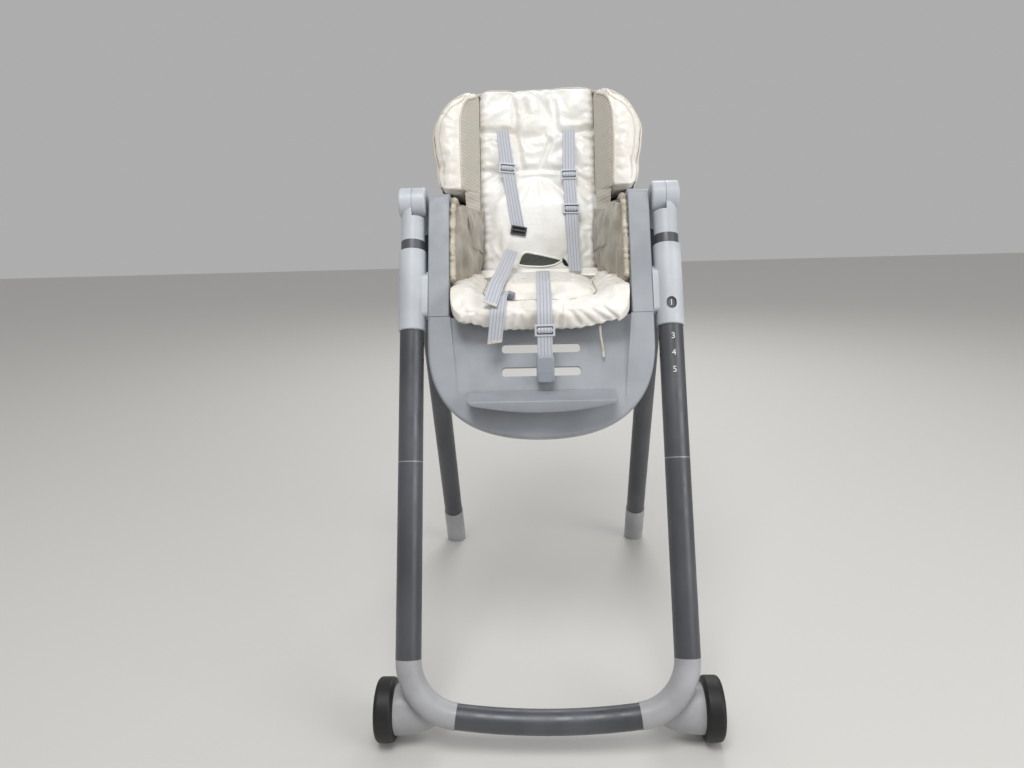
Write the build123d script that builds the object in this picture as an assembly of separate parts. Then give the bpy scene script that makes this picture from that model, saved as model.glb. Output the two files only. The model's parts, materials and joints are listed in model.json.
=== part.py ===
from build123d import *
import os
from math import asin, atan, cos, degrees, hypot, radians, sin, sqrt

# Folding baby high chair, in millimetres, +Z up, front towards -Y.
# The origin is on the floor, under the middle of the whole chair.

# Fits
GAP = 0.3  # between pieces that move past each other
FIT = 0.1  # radial room of a plug in its tube
RUNNING = 0.08  # radial room of a pin in its bore

# Legs
LEG_X = 224.0  # leg axes, each side of the middle
LEG_LEAN = 26.05  # front legs, degrees from upright
LEG_LENGTH = 871.0  # fold pivot to the cross tube, along the leg
LEG_SEAM = 465.0  # fold pivot to the joint of the upper and lower tubes
STANCE = 712.0  # wheel axle to rear foot
TUBE_OD = 42.0
TUBE_WALL = 2.0
PLUG_LENGTH = 38.0  # a moulding's plug inside its tube
CROSS_OD = 40.0
CROSS_HALF = 146.0  # half the span of the cross tube
CORNER_TURN = 83.0  # degrees from the leg to the end of the cross tube

# Wheels
WHEEL_R = 51.0
WHEEL_WIDTH = 30.0
WHEEL_OUT = 280.0  # outer face of the wheel from the middle
WHEEL_BACK = 40.5  # axle behind the leg axis
WHEEL_UP = 2.6  # axle above the cross tube's end, along the leg
TYRE_DEPTH = 13.0
TYRE_ROUND = 7.0
AXLE_R = 4.0
FAIRING_R = 40.0
FAIRING_INSET = 58.0  # tip of the fairing inside the leg axis

# Fold hubs
HUB_R = 27.0
HUB_HALF = 24.0  # half the width of the two interleaved heads
HUB_SLEEVE = 74.5  # fold pivot to the end of the front sleeve
HUB_ROUND = 4.0
HUB_CLEAR = 4.0  # room under the rear head when it is folded
KNEE = 43.0  # rear leg axis behind the fold pivot
KNEE_DROP = 26.0
KNEE_SLEEVE = 75.0
PIVOT_PIN_R = 5.0
FOLD_BUTTON_R = 14.5
FOLD_BUTTON_PROUD = 1.5
FOLD_BUTTON_TRAVEL = 4.0
FOLD_BUTTON_DEPTH = 7.0

# Rear feet
FOOT_WALL = 1.6
FOOT_LENGTH = 100.0
FOOT_SOLE = 20.0  # solid end under the tube

# Height collars
COLLAR_OD = 48.0
COLLAR_TOP = -92.0  # along the leg from the fold pivot
COLLAR_LENGTH = 146.0
COLLAR_ROUND = 2.5
BRACKET_HALF = 15.0
BRACKET_TOP = -120.0
BRACKET_BOTTOM = -214.0
BRACKET_SLOPE = 22.0
WINDOW_WIDTH = 17.0
WINDOW_HEIGHT = 21.0
WINDOW_DROP = 110.0  # collar top to the middle of the number window
LOCK_PIN_R = 5.0
LOCK_FLANGE = 2.5  # the pin's flange stands out this far
LOCK_FLANGE_THICK = 2.0
LOCK_S = -175.0
LOCK_TRAVEL = 8.0
LOCK_STEPS = 5
LOCK_PITCH = 29.0
BOLT_R = 2.5
BOLT_HEAD_R = 4.5
BOLT_HEAD = 4.0
BOLT_PITCH = 54.0

# Side frames, in the seat's own places from the fold pivot
POST_IN = 158.0
SIDE_IN = 172.0
SIDE_OUT = 195.0
SIDE_WALL = 6.0
BOSS_WALL = 4.0  # round a lock pin or a bolt head
POST_FRONT = -14.0  # behind the leg axis
POST_DEPTH = 30.0
POST_TOP = 14.0
POST_BOTTOM = -216.0
POST_ROUND = 12.0
POST_EDGE = 2.5  # rounding of the post's long edges
SHADOW_LINE = 1.2  # groove round the foot of the post
SIDE_REACH = 30.0  # behind the recline pivot
SIDE_RISE = 118.0  # above the recline pivot
SIDE_SINK = 36.0  # below the recline pivot
SIDE_ROUND = 30.0
RECLINE_Y = 140.0  # recline pivot behind the fold pivot
RECLINE_Z = -159.0
RECLINE_PIN_R = 6.0
RECLINE_PIN_REACH = 22.0  # inside the side frame
RECLINE_BOSS_R = 16.0
TRIGGER_BACK = 47.0
TRIGGER_WIDTH = 22.0
TRIGGER_HEIGHT = 40.0
TRIGGER_PROUD = 4.0

# Calf panel and footrest
PANEL_BOTTOM = -429.0
PANEL_STRAIGHT = 46.0
PANEL_FIELD = 10.0  # depth of the front field at its top
FIELD_FADE = -372.0  # where the field runs out
PANEL_RIM = 5.0
PANEL_SKIN = 14.0
SLOT_WIDTH = 135.0
SLOT_HEIGHT = 16.0
SLOT_TOP = -274.0
SLOT_PITCH = 41.0
FOOTREST_HALF = 124.0
FOOTREST_REACH = 61.0
FOOTREST_LIP = 24.0
FOOTREST_END = 6.0  # thickness at the two ends
FOOTREST_ROUND = 22.0
TONGUE_HALF = 62.0
TONGUE_THICK = 7.0

# Seat pan
PAN_TOP = -193.0
PAN_DEPTH = 20.0
PAN_PLATE = 5.0
PAN_WALL = 4.0
PAN_FRONT = -72.0
PAN_BACK = 165.0
PAN_SLOT = 10.0  # slot for the crotch strap

# Back
BACK_LEAN = 18.0
BACK_TOP = 380.0
BACK_RIM = -38.0  # front rim, before the recline pivot
BACK_REAR = 34.0
BACK_DRAFT = 12.0  # the rear outline is this much smaller
BACK_WALL = 4.0
BACK_FOOT = 2.0
FOOT_HALF = 146.0  # half-widths of the back, from its foot to its top
WAIST_HALF = 158.0
WING_LOW_HALF = 192.0
WING_HALF = 208.0
SHOULDER_HALF = 178.0
CROWN_HALF = 112.0
SHOULDER_DROP = 38.0
WING_DROP = 90.0
WAIST_DROP = 18.0
WING_LOW_RISE = 8.0
FOOT_ROUND = 30.0  # corner radii of the back, from its foot to its top
WING_LOW_ROUND = 22.0
SHOULDER_ROUND = 55.0
CROWN_ROUND = 100.0
LUG_WIDTH = 32.0
WING_FOOT = 164.0  # lower end of the padded wings
BACK_FRONT = -18.0  # front face of the back cushion
BACK_PANEL_HALF = 116.0
RIM_SETBACK = 10.0  # top edge of the shell behind the cushion's front
LEVER_HALF = 46.0
LEVER_UP = 318.0
LEVER_LENGTH = 74.0
LEVER_BACK = 46.0
LEVER_PIN_R = 3.0
LEVER_HEAD_R = 7.0
LEVER_GRIP_R = 5.0
LEVER_LUG = 6.0
BACK_RIB_X = 80.0
BACK_RIB_FOOT = 48.0
BACK_RIB = 4.0
BACK_RIB_DEPTH = 6.0
STRAP_SLOT = 8.0
STRAP_SLOT_X = 63.0
STRAP_SLOTS_Z = (293.0, 222.0)

# Seat cushion
CUSHION_HALF = 153.0
CUSHION_TOP = -146.0
CUSHION_SINK = 3.0  # the rear of the top is lower
ROLL_FRONT = -163.0
ROLL_BOTTOM = -211.0
ROLL_DEPTH = 41.0  # front of the roll to the flat top
ROLL_NOSE = 26.0  # nose below the top
ROLL_CHIN = 13.0  # chin behind the nose
CUSHION_REAR = 24.0  # rear of the cushion before the recline pivot
CUSHION_ROUND = 12.0
CUSHION_EDGE = 2.0
CUSHION_LIP = 6.0  # the roll reaches behind the front of the pan
ROLL_TOP_ROUND = 35.0
ROLL_NOSE_ROUND = 18.0
ROLL_CHIN_ROUND = 14.0
ROLL_END_RISE = 22.0  # the roll's lower edge rises towards its ends
ROLL_END_ROUND = 26.0
ROLL_CORNER = 34.0  # front corners, seen from above
PAD_REAR = 17.0  # rear of the side pads before the recline pivot
PAD_BACKING = 4.0  # room between a side pad and its frame
PAD_INSET = 8.0  # side pad inside the post, at its front
PAD_LAP = 9.0  # its rear edge laps over the front panel of the back
PAD_RAKE = 26.0  # its rear edge leans back this much
PAD_RISE = 112.0  # top of its rear edge above the recline pivot
BACK_TAIL = 17.0  # the back cushion is this much wider below the wings
WING_GUSSET = 32.0  # width of the slanted inner face of a wing
WING_FLAT = 30.0
WING_CREST = 10.0  # top of a wing before the rim of the back shell
WING_TOP_ROUND = 60.0
WING_HEM = 4.0
WING_NOSE = 32.0  # wings before the rim of the back shell

# Harness
STRAP_WIDTH = 25.0
LEFT_ROUTE = ((-68.0, 291.0), (-59.5, 216.0), (-39.5, 89.0))  # on the back, across and up
RIGHT_ROUTE = ((64.0, 287.0), (62.5, 200.0), (66.0, 131.0), (71.0, 12.0))
HIP_X = -69.0
HIP_TURN = -7.0  # degrees, seen from above
TAIL_X = -70.0
STRAP_THICK = 1.6
SLIDER_WIDTH = 34.0
SLIDER_HEIGHT = 20.0
SLIDER_THICK = 3.0
BUCKLE_WIDTH = 30.0
BUCKLE_HEIGHT = 46.0
BUCKLE_THICK = 14.0
BUCKLE_DROP = 34.0  # below the roll
BUTTON_WIDTH = 23.0
BUTTON_HEIGHT = 15.0
BUTTON_ROUND = 4.0
BUTTON_DROP = 13.0  # below the middle of the buckle
BUTTON_PROUD = 0.6
BUCKLE_BUTTON_DEPTH = 4.0
BUCKLE_TRAVEL = 2.5
CROTCH_X = 7.0
CROTCH_SETBACK = 45.0  # root of the crotch strap before the recline pivot
CORD_R = 2.0
CORD_SETBACK = 20.0  # behind the front of the roll
TIP_LENGTH = 9.0

# Places that follow from the sizes above
lean = radians(LEG_LEAN)
turn = radians(CORNER_TURN)
bow = radians(90.0 - CORNER_TURN)
tube_r = TUBE_OD / 2
tube_bore = tube_r - TUBE_WALL
corner_r = (LEG_X - CROSS_HALF) / (1 - cos(turn))
corner_s = -LEG_LENGTH + corner_r * sin(turn)
bow_r = CROSS_HALF / sin(bow)
wheel_s = -LEG_LENGTH + WHEEL_UP
wheel_in = WHEEL_OUT - WHEEL_WIDTH
fairing_tip = LEG_X - FAIRING_INSET
axle_in = fairing_tip + FAIRING_R
pivot_z = WHEEL_R - wheel_s * cos(lean) + WHEEL_BACK * sin(lean)
foot_y = STANCE + wheel_s * sin(lean) + WHEEL_BACK * cos(lean)
foot_reach = hypot(foot_y, pivot_z)
rear_lean = atan(foot_y / pivot_z) - asin(KNEE / foot_reach)
rear_length = sqrt(foot_reach**2 - KNEE**2)
foot_r = tube_r + FOOT_WALL
front_reach = (LEG_LENGTH + bow_r * (1 - cos(bow))) * sin(lean) + CROSS_OD / 2
rear_reach = foot_y + foot_r / cos(rear_lean)
pivot_y = (front_reach - rear_reach) / 2
crotch_root = RECLINE_Y - CROTCH_SETBACK
rim_cut = BACK_FRONT + RIM_SETBACK

# Frames that the pieces are drawn in, all with their origin on a pivot
SEAT = Pos(0, pivot_y, pivot_z)
LEAN = Rot(-LEG_LEAN, 0, 0)
LEG = SEAT * LEAN
REAR = SEAT * Rot(degrees(rear_lean), 0, 0)
BACK = SEAT * Pos(0, RECLINE_Y, RECLINE_Z) * Rot(-BACK_LEAN, 0, 0)

BASE = (Align.CENTER, Align.CENTER, Align.MIN)
nodes = {}


def pair(name, right):
    """Keep a right-hand piece and its mirrored left-hand twin."""
    nodes["right_" + name] = right
    nodes["left_" + name] = mirror(right, about=Plane.YZ)


def both_sides(name, right):
    """Keep a piece and its twin as one group of separate solids."""
    nodes[name] = Compound(children=[right, mirror(right, about=Plane.YZ)])


def block(x, y, z):
    """Box between two corners, given as ranges."""
    size = Box(x[1] - x[0], y[1] - y[0], z[1] - z[0])
    return Pos((x[0] + x[1]) / 2, (y[0] + y[1]) / 2, (z[0] + z[1]) / 2) * size


def rod_x(radius, start, end, y=0.0, z=0.0):
    """Round bar along X."""
    return Pos((start + end) / 2, y, z) * Rot(0, 90, 0) * Cylinder(radius, end - start)


def rod_z(radius, bottom, top, x=0.0, y=0.0):
    """Round bar along Z."""
    return Pos(x, y, bottom) * Cylinder(radius, top - bottom, align=BASE)


def tube_z(radius, wall, bottom, top, x=0.0, y=0.0):
    """Round tube along Z."""
    return rod_z(radius, bottom, top, x, y) - rod_z(radius - wall, bottom, top, x, y)


def along_x(sketch, start, end):
    """Extrude a Y-Z outline from one X to another."""
    return extrude(Plane.YZ.offset(start) * sketch, amount=end - start)


def along_y(sketch, start, end):
    """Extrude an X-Z outline from one depth to another."""
    return extrude(Plane.XZ.offset(-start) * sketch, amount=start - end)


def outline(points, radii):
    """Closed outline with one corner radius for each point."""
    return make_face(FilletPolyline(*points, radius=radii, close=True))


def leg_yz(back, s):
    """Seat place of a point behind the leg axis, s up along the leg."""
    return (back * cos(lean) + s * sin(lean), s * cos(lean) - back * sin(lean))


# Front leg tubes, with the row of lock holes on the inner side of the upper tube
def leg_upper():
    tube = tube_z(tube_r, TUBE_WALL, -LEG_SEAM, -HUB_SLEEVE, LEG_X)
    for step in range(LOCK_STEPS):
        hole = rod_x(LOCK_PIN_R + GAP, LEG_X - TUBE_OD, LEG_X, 0, LOCK_S - step * LOCK_PITCH)
        tube -= hole
    return LEG * tube


pair("front_leg_upper", leg_upper())
pair("front_leg_lower", LEG * tube_z(tube_r, TUBE_WALL, corner_s, -LEG_SEAM, LEG_X))
spigot = tube_z(tube_bore - FIT, TUBE_WALL, -LEG_SEAM - PLUG_LENGTH, -LEG_SEAM + PLUG_LENGTH, LEG_X)
both_sides("leg_joint_spigots", LEG * spigot)


# Cross tube, bowed in the plane of the legs
def bow_sweep(radius, angle, wall=0.0):
    """Round bar or tube along the bow, from the right end towards the middle."""
    end = Plane((CROSS_HALF, 0, -LEG_LENGTH), x_dir=(0, 1, 0), z_dir=(-cos(bow), 0, -sin(bow)))
    section = Circle(radius)
    if wall:
        section -= Circle(radius - wall)
    centre = Axis((0, 0, -LEG_LENGTH + bow_r * cos(bow)), (0, 1, 0))
    return revolve(end * section, centre, angle)


nodes["front_cross_tube"] = LEG * bow_sweep(CROSS_OD / 2, 2 * degrees(bow), TUBE_WALL)


# Corner moulding: elbow from the leg to the cross tube, plugs, and the fairing inside the wheel
def wheel_corner():
    centre = Axis((LEG_X - corner_r, 0, corner_s), (0, 1, 0))
    elbow = revolve(Pos(LEG_X, 0, corner_s) * Circle(tube_r), centre, CORNER_TURN)
    face = wheel_in - GAP
    shoulder = face - 0.6 * (face - fairing_tip)
    edges = [
        Line((fairing_tip, 0), (face, 0)),
        Line((face, 0), (face, FAIRING_R)),
        Bezier((face, FAIRING_R), (shoulder, FAIRING_R), (fairing_tip, 0.5 * FAIRING_R), (fairing_tip, 0)),
    ]
    fairing = Pos(0, WHEEL_BACK, wheel_s) * revolve(make_face(edges), Axis.X)
    leg_plug = rod_z(tube_bore - FIT, corner_s, corner_s + PLUG_LENGTH, LEG_X)
    cross_plug = bow_sweep(CROSS_OD / 2 - TUBE_WALL - FIT, degrees(PLUG_LENGTH / bow_r))
    axle_bore = rod_x(AXLE_R + RUNNING, axle_in, WHEEL_OUT, WHEEL_BACK, wheel_s)
    return LEG * (elbow + fairing + leg_plug + cross_plug - axle_bore)


pair("wheel_corner", wheel_corner())
axle_out = WHEEL_OUT - 0.3 * WHEEL_WIDTH
both_sides("wheel_axles", LEG * rod_x(AXLE_R, axle_in, axle_out, WHEEL_BACK, wheel_s))


# Wheels: a dished core on the axle, and a tyre with rounded shoulders
def wheel_core():
    rim = WHEEL_R - TYRE_DEPTH
    core = rod_x(rim, wheel_in + GAP, WHEEL_OUT - 1)
    dish = rod_x(rim - TYRE_DEPTH / 2, WHEEL_OUT - 0.25 * WHEEL_WIDTH, WHEEL_OUT)
    cap = rod_x(rim / 2, WHEEL_OUT - 0.3 * WHEEL_WIDTH, WHEEL_OUT - 2)
    bore = rod_x(AXLE_R + RUNNING, wheel_in, axle_out + GAP)
    return LEG * Pos(0, WHEEL_BACK, wheel_s) * (core - dish + cap - bore)


def tyre():
    inner = WHEEL_R - TYRE_DEPTH
    points = [(wheel_in, inner), (WHEEL_OUT, inner), (WHEEL_OUT, WHEEL_R), (wheel_in, WHEEL_R)]
    section = outline(points, [0, 0, TYRE_ROUND, TYRE_ROUND])
    return LEG * Pos(0, WHEEL_BACK, wheel_s) * revolve(section, Axis.X)


pair("wheel_core", wheel_core())
pair("tyre", tyre())


# Fold hubs: the front head is the outer half of the joint, the rear head the inner half
def front_hub():
    outer = LEG_X + HUB_HALF
    split = LEG_X + GAP
    disc = rod_x(HUB_R, split, outer)
    disc = fillet(disc.edges().sort_by(Axis.X)[-1], HUB_ROUND)
    sleeve = rod_z(tube_r, -HUB_SLEEVE, 0, LEG_X)
    low = -HUB_R - HUB_CLEAR
    points = [(-HUB_R, low), (0, low), (HUB_R, low - HUB_R / 2), (HUB_R, HUB_R), (-HUB_R, HUB_R)]
    room = along_x(make_face(Polyline(*points, close=True)), LEG_X - HUB_R, split)
    plug = rod_z(tube_bore - FIT, -HUB_SLEEVE - PLUG_LENGTH, -HUB_SLEEVE, LEG_X)
    recess = outer - FOLD_BUTTON_DEPTH - FOLD_BUTTON_TRAVEL
    button_room = rod_x(FOLD_BUTTON_R + GAP, recess, outer + GAP)
    pin_bore = rod_x(PIVOT_PIN_R, LEG_X - HUB_HALF, recess)
    return LEG * (sleeve - room + disc + plug - button_room - pin_bore)


def rear_hub():
    inner = LEG_X - HUB_HALF
    split = LEG_X - GAP
    knee = Pos(KNEE, -KNEE_DROP) * Circle(tube_r + 2 * GAP)
    disc = rod_x(HUB_R, inner, split)
    disc = fillet(disc.edges().sort_by(Axis.X)[0], HUB_ROUND)
    arm = along_x(make_hull(Circle(HUB_R).edges() + knee.edges()), inner + HUB_ROUND, split)
    dome = Pos(LEG_X, KNEE, -KNEE_DROP) * Sphere(tube_r)
    sleeve = rod_z(tube_r, -KNEE_SLEEVE, -KNEE_DROP, LEG_X, KNEE)
    plug = rod_z(tube_bore - FIT, -KNEE_SLEEVE - PLUG_LENGTH, -KNEE_SLEEVE, LEG_X, KNEE)
    pin_bore = rod_x(PIVOT_PIN_R + RUNNING, inner - GAP, LEG_X)
    return REAR * (disc + arm + dome + sleeve + plug - pin_bore)


pair("front_hub", front_hub())
pair("rear_hub", rear_hub())
hub_out = LEG_X + HUB_HALF
button_in = hub_out - FOLD_BUTTON_DEPTH
both_sides("fold_pivot_pins", LEG * rod_x(PIVOT_PIN_R, LEG_X - HUB_HALF, button_in - FOLD_BUTTON_TRAVEL))
fold_button = rod_x(FOLD_BUTTON_R, button_in, hub_out + FOLD_BUTTON_PROUD)
fold_button = fillet(fold_button.edges().sort_by(Axis.X)[-1], FOLD_BUTTON_PROUD)
pair("fold_button", LEG * fold_button)

# Rear leg tubes and their long feet, cut level with the floor
foot_top = -rear_length + FOOT_LENGTH
tube_end = -rear_length + FOOT_SOLE
pair("rear_leg_tube", REAR * tube_z(tube_r, TUBE_WALL, tube_end, -KNEE_SLEEVE, LEG_X, KNEE))


def rear_foot():
    cap = rod_z(foot_r, -rear_length - FOOT_SOLE, foot_top, LEG_X, KNEE)
    cap = fillet(cap.edges().sort_by(Axis.Z)[-1], FOOT_WALL / 2)
    foot = REAR * (cap - rod_z(tube_r + FIT, tube_end, foot_top, LEG_X, KNEE))
    floor = block((0, 2 * LEG_X), (0, 2 * STANCE), (-FOOT_LENGTH, 0))
    return foot - floor


pair("rear_foot", rear_foot())


# Height collars: a sleeve on the leg and a bracket that is bolted to the side frame
def bolt_places():
    return [LOCK_S + BOLT_PITCH / 2, LOCK_S - BOLT_PITCH / 2]


def collar(window):
    bottom = COLLAR_TOP - COLLAR_LENGTH
    sleeve = rod_z(COLLAR_OD / 2, bottom, COLLAR_TOP, LEG_X)
    sleeve = fillet(sleeve.edges().filter_by(GeomType.CIRCLE), COLLAR_ROUND)
    points = [
        (-BRACKET_HALF, BRACKET_BOTTOM),
        (BRACKET_HALF, BRACKET_BOTTOM),
        (BRACKET_HALF, BRACKET_TOP),
        (-BRACKET_HALF, BRACKET_TOP - BRACKET_SLOPE),
    ]
    bracket = along_x(outline(points, BRACKET_HALF / 2), SIDE_OUT, LEG_X - BRACKET_HALF)
    piece = sleeve + bracket - rod_z(tube_r + GAP, bottom, COLLAR_TOP, LEG_X)
    piece -= rod_x(LOCK_PIN_R + GAP, SIDE_OUT, LEG_X, 0, LOCK_S)
    for s in bolt_places():
        piece -= rod_x(BOLT_R + RUNNING, SIDE_OUT, LEG_X, 0, s)
    if window:
        slot = SlotOverall(WINDOW_HEIGHT, WINDOW_WIDTH, rotation=90)
        hole = along_y(slot, -COLLAR_OD, 0)
        piece -= Pos(LEG_X, 0, COLLAR_TOP - WINDOW_DROP) * hole
    return LEG * piece


nodes["right_collar"] = collar(True)
nodes["left_collar"] = mirror(collar(False), about=Plane.YZ)


# Side frames: post, arm and recline boss, open on the inner side, with bosses for pins and bolts
def side_outline():
    back = POST_FRONT + POST_DEPTH
    points = [
        leg_yz(POST_FRONT, POST_BOTTOM),
        leg_yz(POST_FRONT, POST_TOP),
        leg_yz(back + POST_ROUND, POST_TOP - SIDE_WALL),
        (RECLINE_Y + SIDE_REACH, RECLINE_Z + SIDE_RISE),
        (RECLINE_Y + SIDE_REACH + SIDE_WALL, RECLINE_Z - SIDE_SINK),
        leg_yz(back + SIDE_WALL, POST_BOTTOM),
    ]
    return outline(points, [0, POST_ROUND, SIDE_ROUND, SIDE_ROUND, SIDE_ROUND, 0])


def post_edges():
    """What comes off the post: its two front edges, rounded, and the groove round its foot."""
    before = POST_FRONT - POST_DEPTH
    middle = (POST_IN + SIDE_OUT) / 2
    plate = Pos(middle, POST_FRONT) * Rectangle(2 * POST_DEPTH, 2 * POST_EDGE)
    body = RectangleRounded(SIDE_OUT - POST_IN, 2 * POST_DEPTH, POST_EDGE)
    body = Pos(middle, POST_FRONT + POST_DEPTH) * body
    edges = Pos(0, 0, POST_BOTTOM) * extrude(plate - body, 2 * POST_TOP - POST_BOTTOM)
    foot = (POST_BOTTOM - SHADOW_LINE, POST_BOTTOM + SHADOW_LINE)
    groove = block((SIDE_OUT - POST_DEPTH, SIDE_OUT + 1), (before, POST_FRONT + SHADOW_LINE), foot)
    groove += block((0, POST_IN + SHADOW_LINE), (before, POST_FRONT + POST_DEPTH), foot)
    groove += block((0, SIDE_OUT), (before, POST_FRONT + SHADOW_LINE), foot)
    return edges + groove


def side_frame():
    back = POST_FRONT + POST_DEPTH
    skin = SIDE_OUT - SIDE_WALL
    shape = side_outline()
    frame = along_x(shape, SIDE_IN, SIDE_OUT)
    frame -= along_x(offset(shape, -SIDE_WALL), SIDE_IN, skin)
    flange = [(POST_FRONT, POST_BOTTOM), (POST_FRONT, POST_TOP), (back, POST_TOP), (back, POST_BOTTOM)]
    post = outline(flange, [0, POST_ROUND, POST_ROUND / 2, 0])
    frame += LEAN * along_x(post, POST_IN, SIDE_IN)
    frame -= LEAN * post_edges()
    frame += rod_x(RECLINE_BOSS_R, SIDE_IN, SIDE_OUT, RECLINE_Y, RECLINE_Z)
    frame -= rod_x(RECLINE_PIN_R + RUNNING, SIDE_IN - GAP, skin, RECLINE_Y, RECLINE_Z)
    boss = skin - SIDE_WALL / 2
    frame += LEAN * rod_x(LOCK_PIN_R + BOSS_WALL, boss, SIDE_OUT, 0, LOCK_S)
    frame -= LEAN * rod_x(LOCK_PIN_R + RUNNING, boss, SIDE_OUT + GAP, 0, LOCK_S)
    frame -= LEAN * rod_x(LOCK_PIN_R + GAP, pin_tail - LOCK_TRAVEL - 1, SIDE_IN, 0, LOCK_S)
    for s in bolt_places():
        frame += LEAN * rod_x(BOLT_R + BOSS_WALL, boss, SIDE_OUT, 0, s)
        frame -= LEAN * rod_x(BOLT_R + RUNNING, boss, SIDE_OUT + GAP, 0, s)
    stem = TRIGGER_WIDTH / 4 + GAP
    low = LOCK_S - TRIGGER_HEIGHT / 4 - GAP
    high = LOCK_S + TRIGGER_HEIGHT / 4 + LOCK_TRAVEL + GAP
    window = block((skin, SIDE_OUT + GAP), (TRIGGER_BACK - stem, TRIGGER_BACK + stem), (low, high))
    return SEAT * (frame - LEAN * window)


pin_tail = SIDE_IN + LOCK_TRAVEL / 2
pair("side_frame", side_frame())
pin_tip = LEG_X - tube_r - GAP
lock_pin = rod_x(LOCK_PIN_R, pin_tail, pin_tip, 0, LOCK_S)
flange_in = SIDE_IN + LOCK_TRAVEL + GAP
flange_out = flange_in + LOCK_FLANGE_THICK
lock_pin += rod_x(LOCK_PIN_R + LOCK_FLANGE, flange_in, flange_out, 0, LOCK_S)
pair("lock_pin", LEG * lock_pin)


# Height trigger: a finger pad outside, a stem through the wall and an arm to the lock pin inside
def height_trigger():
    skin = SIDE_OUT - SIDE_WALL
    half = TRIGGER_HEIGHT / 2
    edge = TRIGGER_WIDTH / 2
    points = [
        (TRIGGER_BACK - edge, LOCK_S - half),
        (TRIGGER_BACK + edge, LOCK_S - half),
        (TRIGGER_BACK + edge, LOCK_S + half),
        (TRIGGER_BACK - edge, LOCK_S + half),
    ]
    pad = along_x(outline(points, edge / 2), SIDE_OUT + GAP, SIDE_OUT + TRIGGER_PROUD)
    arm_in = flange_out + GAP
    arm_out = skin - SIDE_WALL / 2 - 1
    stem_y = (TRIGGER_BACK - edge / 2, TRIGGER_BACK + edge / 2)
    stem = block((arm_in, SIDE_OUT + GAP), stem_y, (LOCK_S - half / 2, LOCK_S + half / 2))
    arm_y = (LOCK_PIN_R + BOSS_WALL, TRIGGER_BACK + edge / 2)
    arm = block((arm_in, arm_out), arm_y, (LOCK_S - half / 2, LOCK_S))
    return LEG * (pad + stem + arm)


pair("height_trigger", height_trigger())
bolt_in = SIDE_OUT - 1.5 * SIDE_WALL
bolt_set = []
for place in bolt_places():
    shank = rod_x(BOLT_R, bolt_in, LEG_X - tube_r - BOLT_R, 0, place)
    bolt = LEG * (shank + rod_x(BOLT_HEAD_R, bolt_in - BOLT_HEAD, bolt_in, 0, place))
    bolt_set += [bolt, mirror(bolt, about=Plane.YZ)]
nodes["collar_bolts"] = Compound(children=bolt_set)
recline_pin = rod_x(RECLINE_PIN_R, SIDE_IN - RECLINE_PIN_REACH, SIDE_OUT - SIDE_WALL, RECLINE_Y, RECLINE_Z)
both_sides("recline_pivot_pins", SEAT * recline_pin)


# Calf panel: a deep U with a front field that fades out, a hollow ribbed back and three slots
def panel_outline(inset=0.0):
    half = SIDE_OUT - inset
    top = POST_BOTTOM - inset
    bottom = PANEL_BOTTOM + inset
    knee = POST_BOTTOM - PANEL_STRAIGHT
    mid = (knee + bottom) / 2
    hip = 0.82 * half
    edges = [
        Line((-half, top), (half, top)),
        Line((half, top), (half, knee)),
        Bezier((half, knee), (half, mid), (hip, bottom), (0, bottom)),
        Bezier((0, bottom), (-hip, bottom), (-half, mid), (-half, knee)),
        Line((-half, knee), (-half, top)),
    ]
    return make_face(edges)


def calf_panel():
    back = POST_FRONT + POST_DEPTH
    panel = along_y(panel_outline(), POST_FRONT, back)
    panel = fillet(panel.faces().sort_by(Axis.Y)[0].edges().filter_by(GeomType.BEZIER), PANEL_RIM)
    hollow = along_y(panel_outline(PANEL_RIM), POST_FRONT + PANEL_SKIN, back)
    for x in (-0.45 * SIDE_OUT, 0.45 * SIDE_OUT):
        hollow -= block((x - 2, x + 2), (POST_FRONT, back), (PANEL_BOTTOM, POST_BOTTOM))
    half = POST_IN - 2
    floor = POST_FRONT + PANEL_FIELD
    above = POST_BOTTOM + 1
    before = POST_FRONT - 1
    field = [(half, above), (half, POST_BOTTOM), (0.9 * half, FIELD_FADE)]
    field += [(-x, z) for x, z in reversed(field)]
    wedge = [(before, above), (floor, above), (floor, POST_BOTTOM)]
    wedge += [(POST_FRONT, FIELD_FADE), (before, FIELD_FADE)]
    field_cut = along_y(make_face(Polyline(*field, close=True)), before, back)
    field_cut &= along_x(make_face(Polyline(*wedge, close=True)), -half, half)
    panel = panel - hollow - field_cut
    for row in range(3):
        slot = RectangleRounded(SLOT_WIDTH, SLOT_HEIGHT, SLOT_HEIGHT / 2.5)
        panel -= Pos(0, 0, SLOT_TOP - row * SLOT_PITCH) * along_y(slot, 2 * POST_FRONT, 2 * back)
    return LEG * panel


nodes["calf_panel"] = calf_panel()


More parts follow.
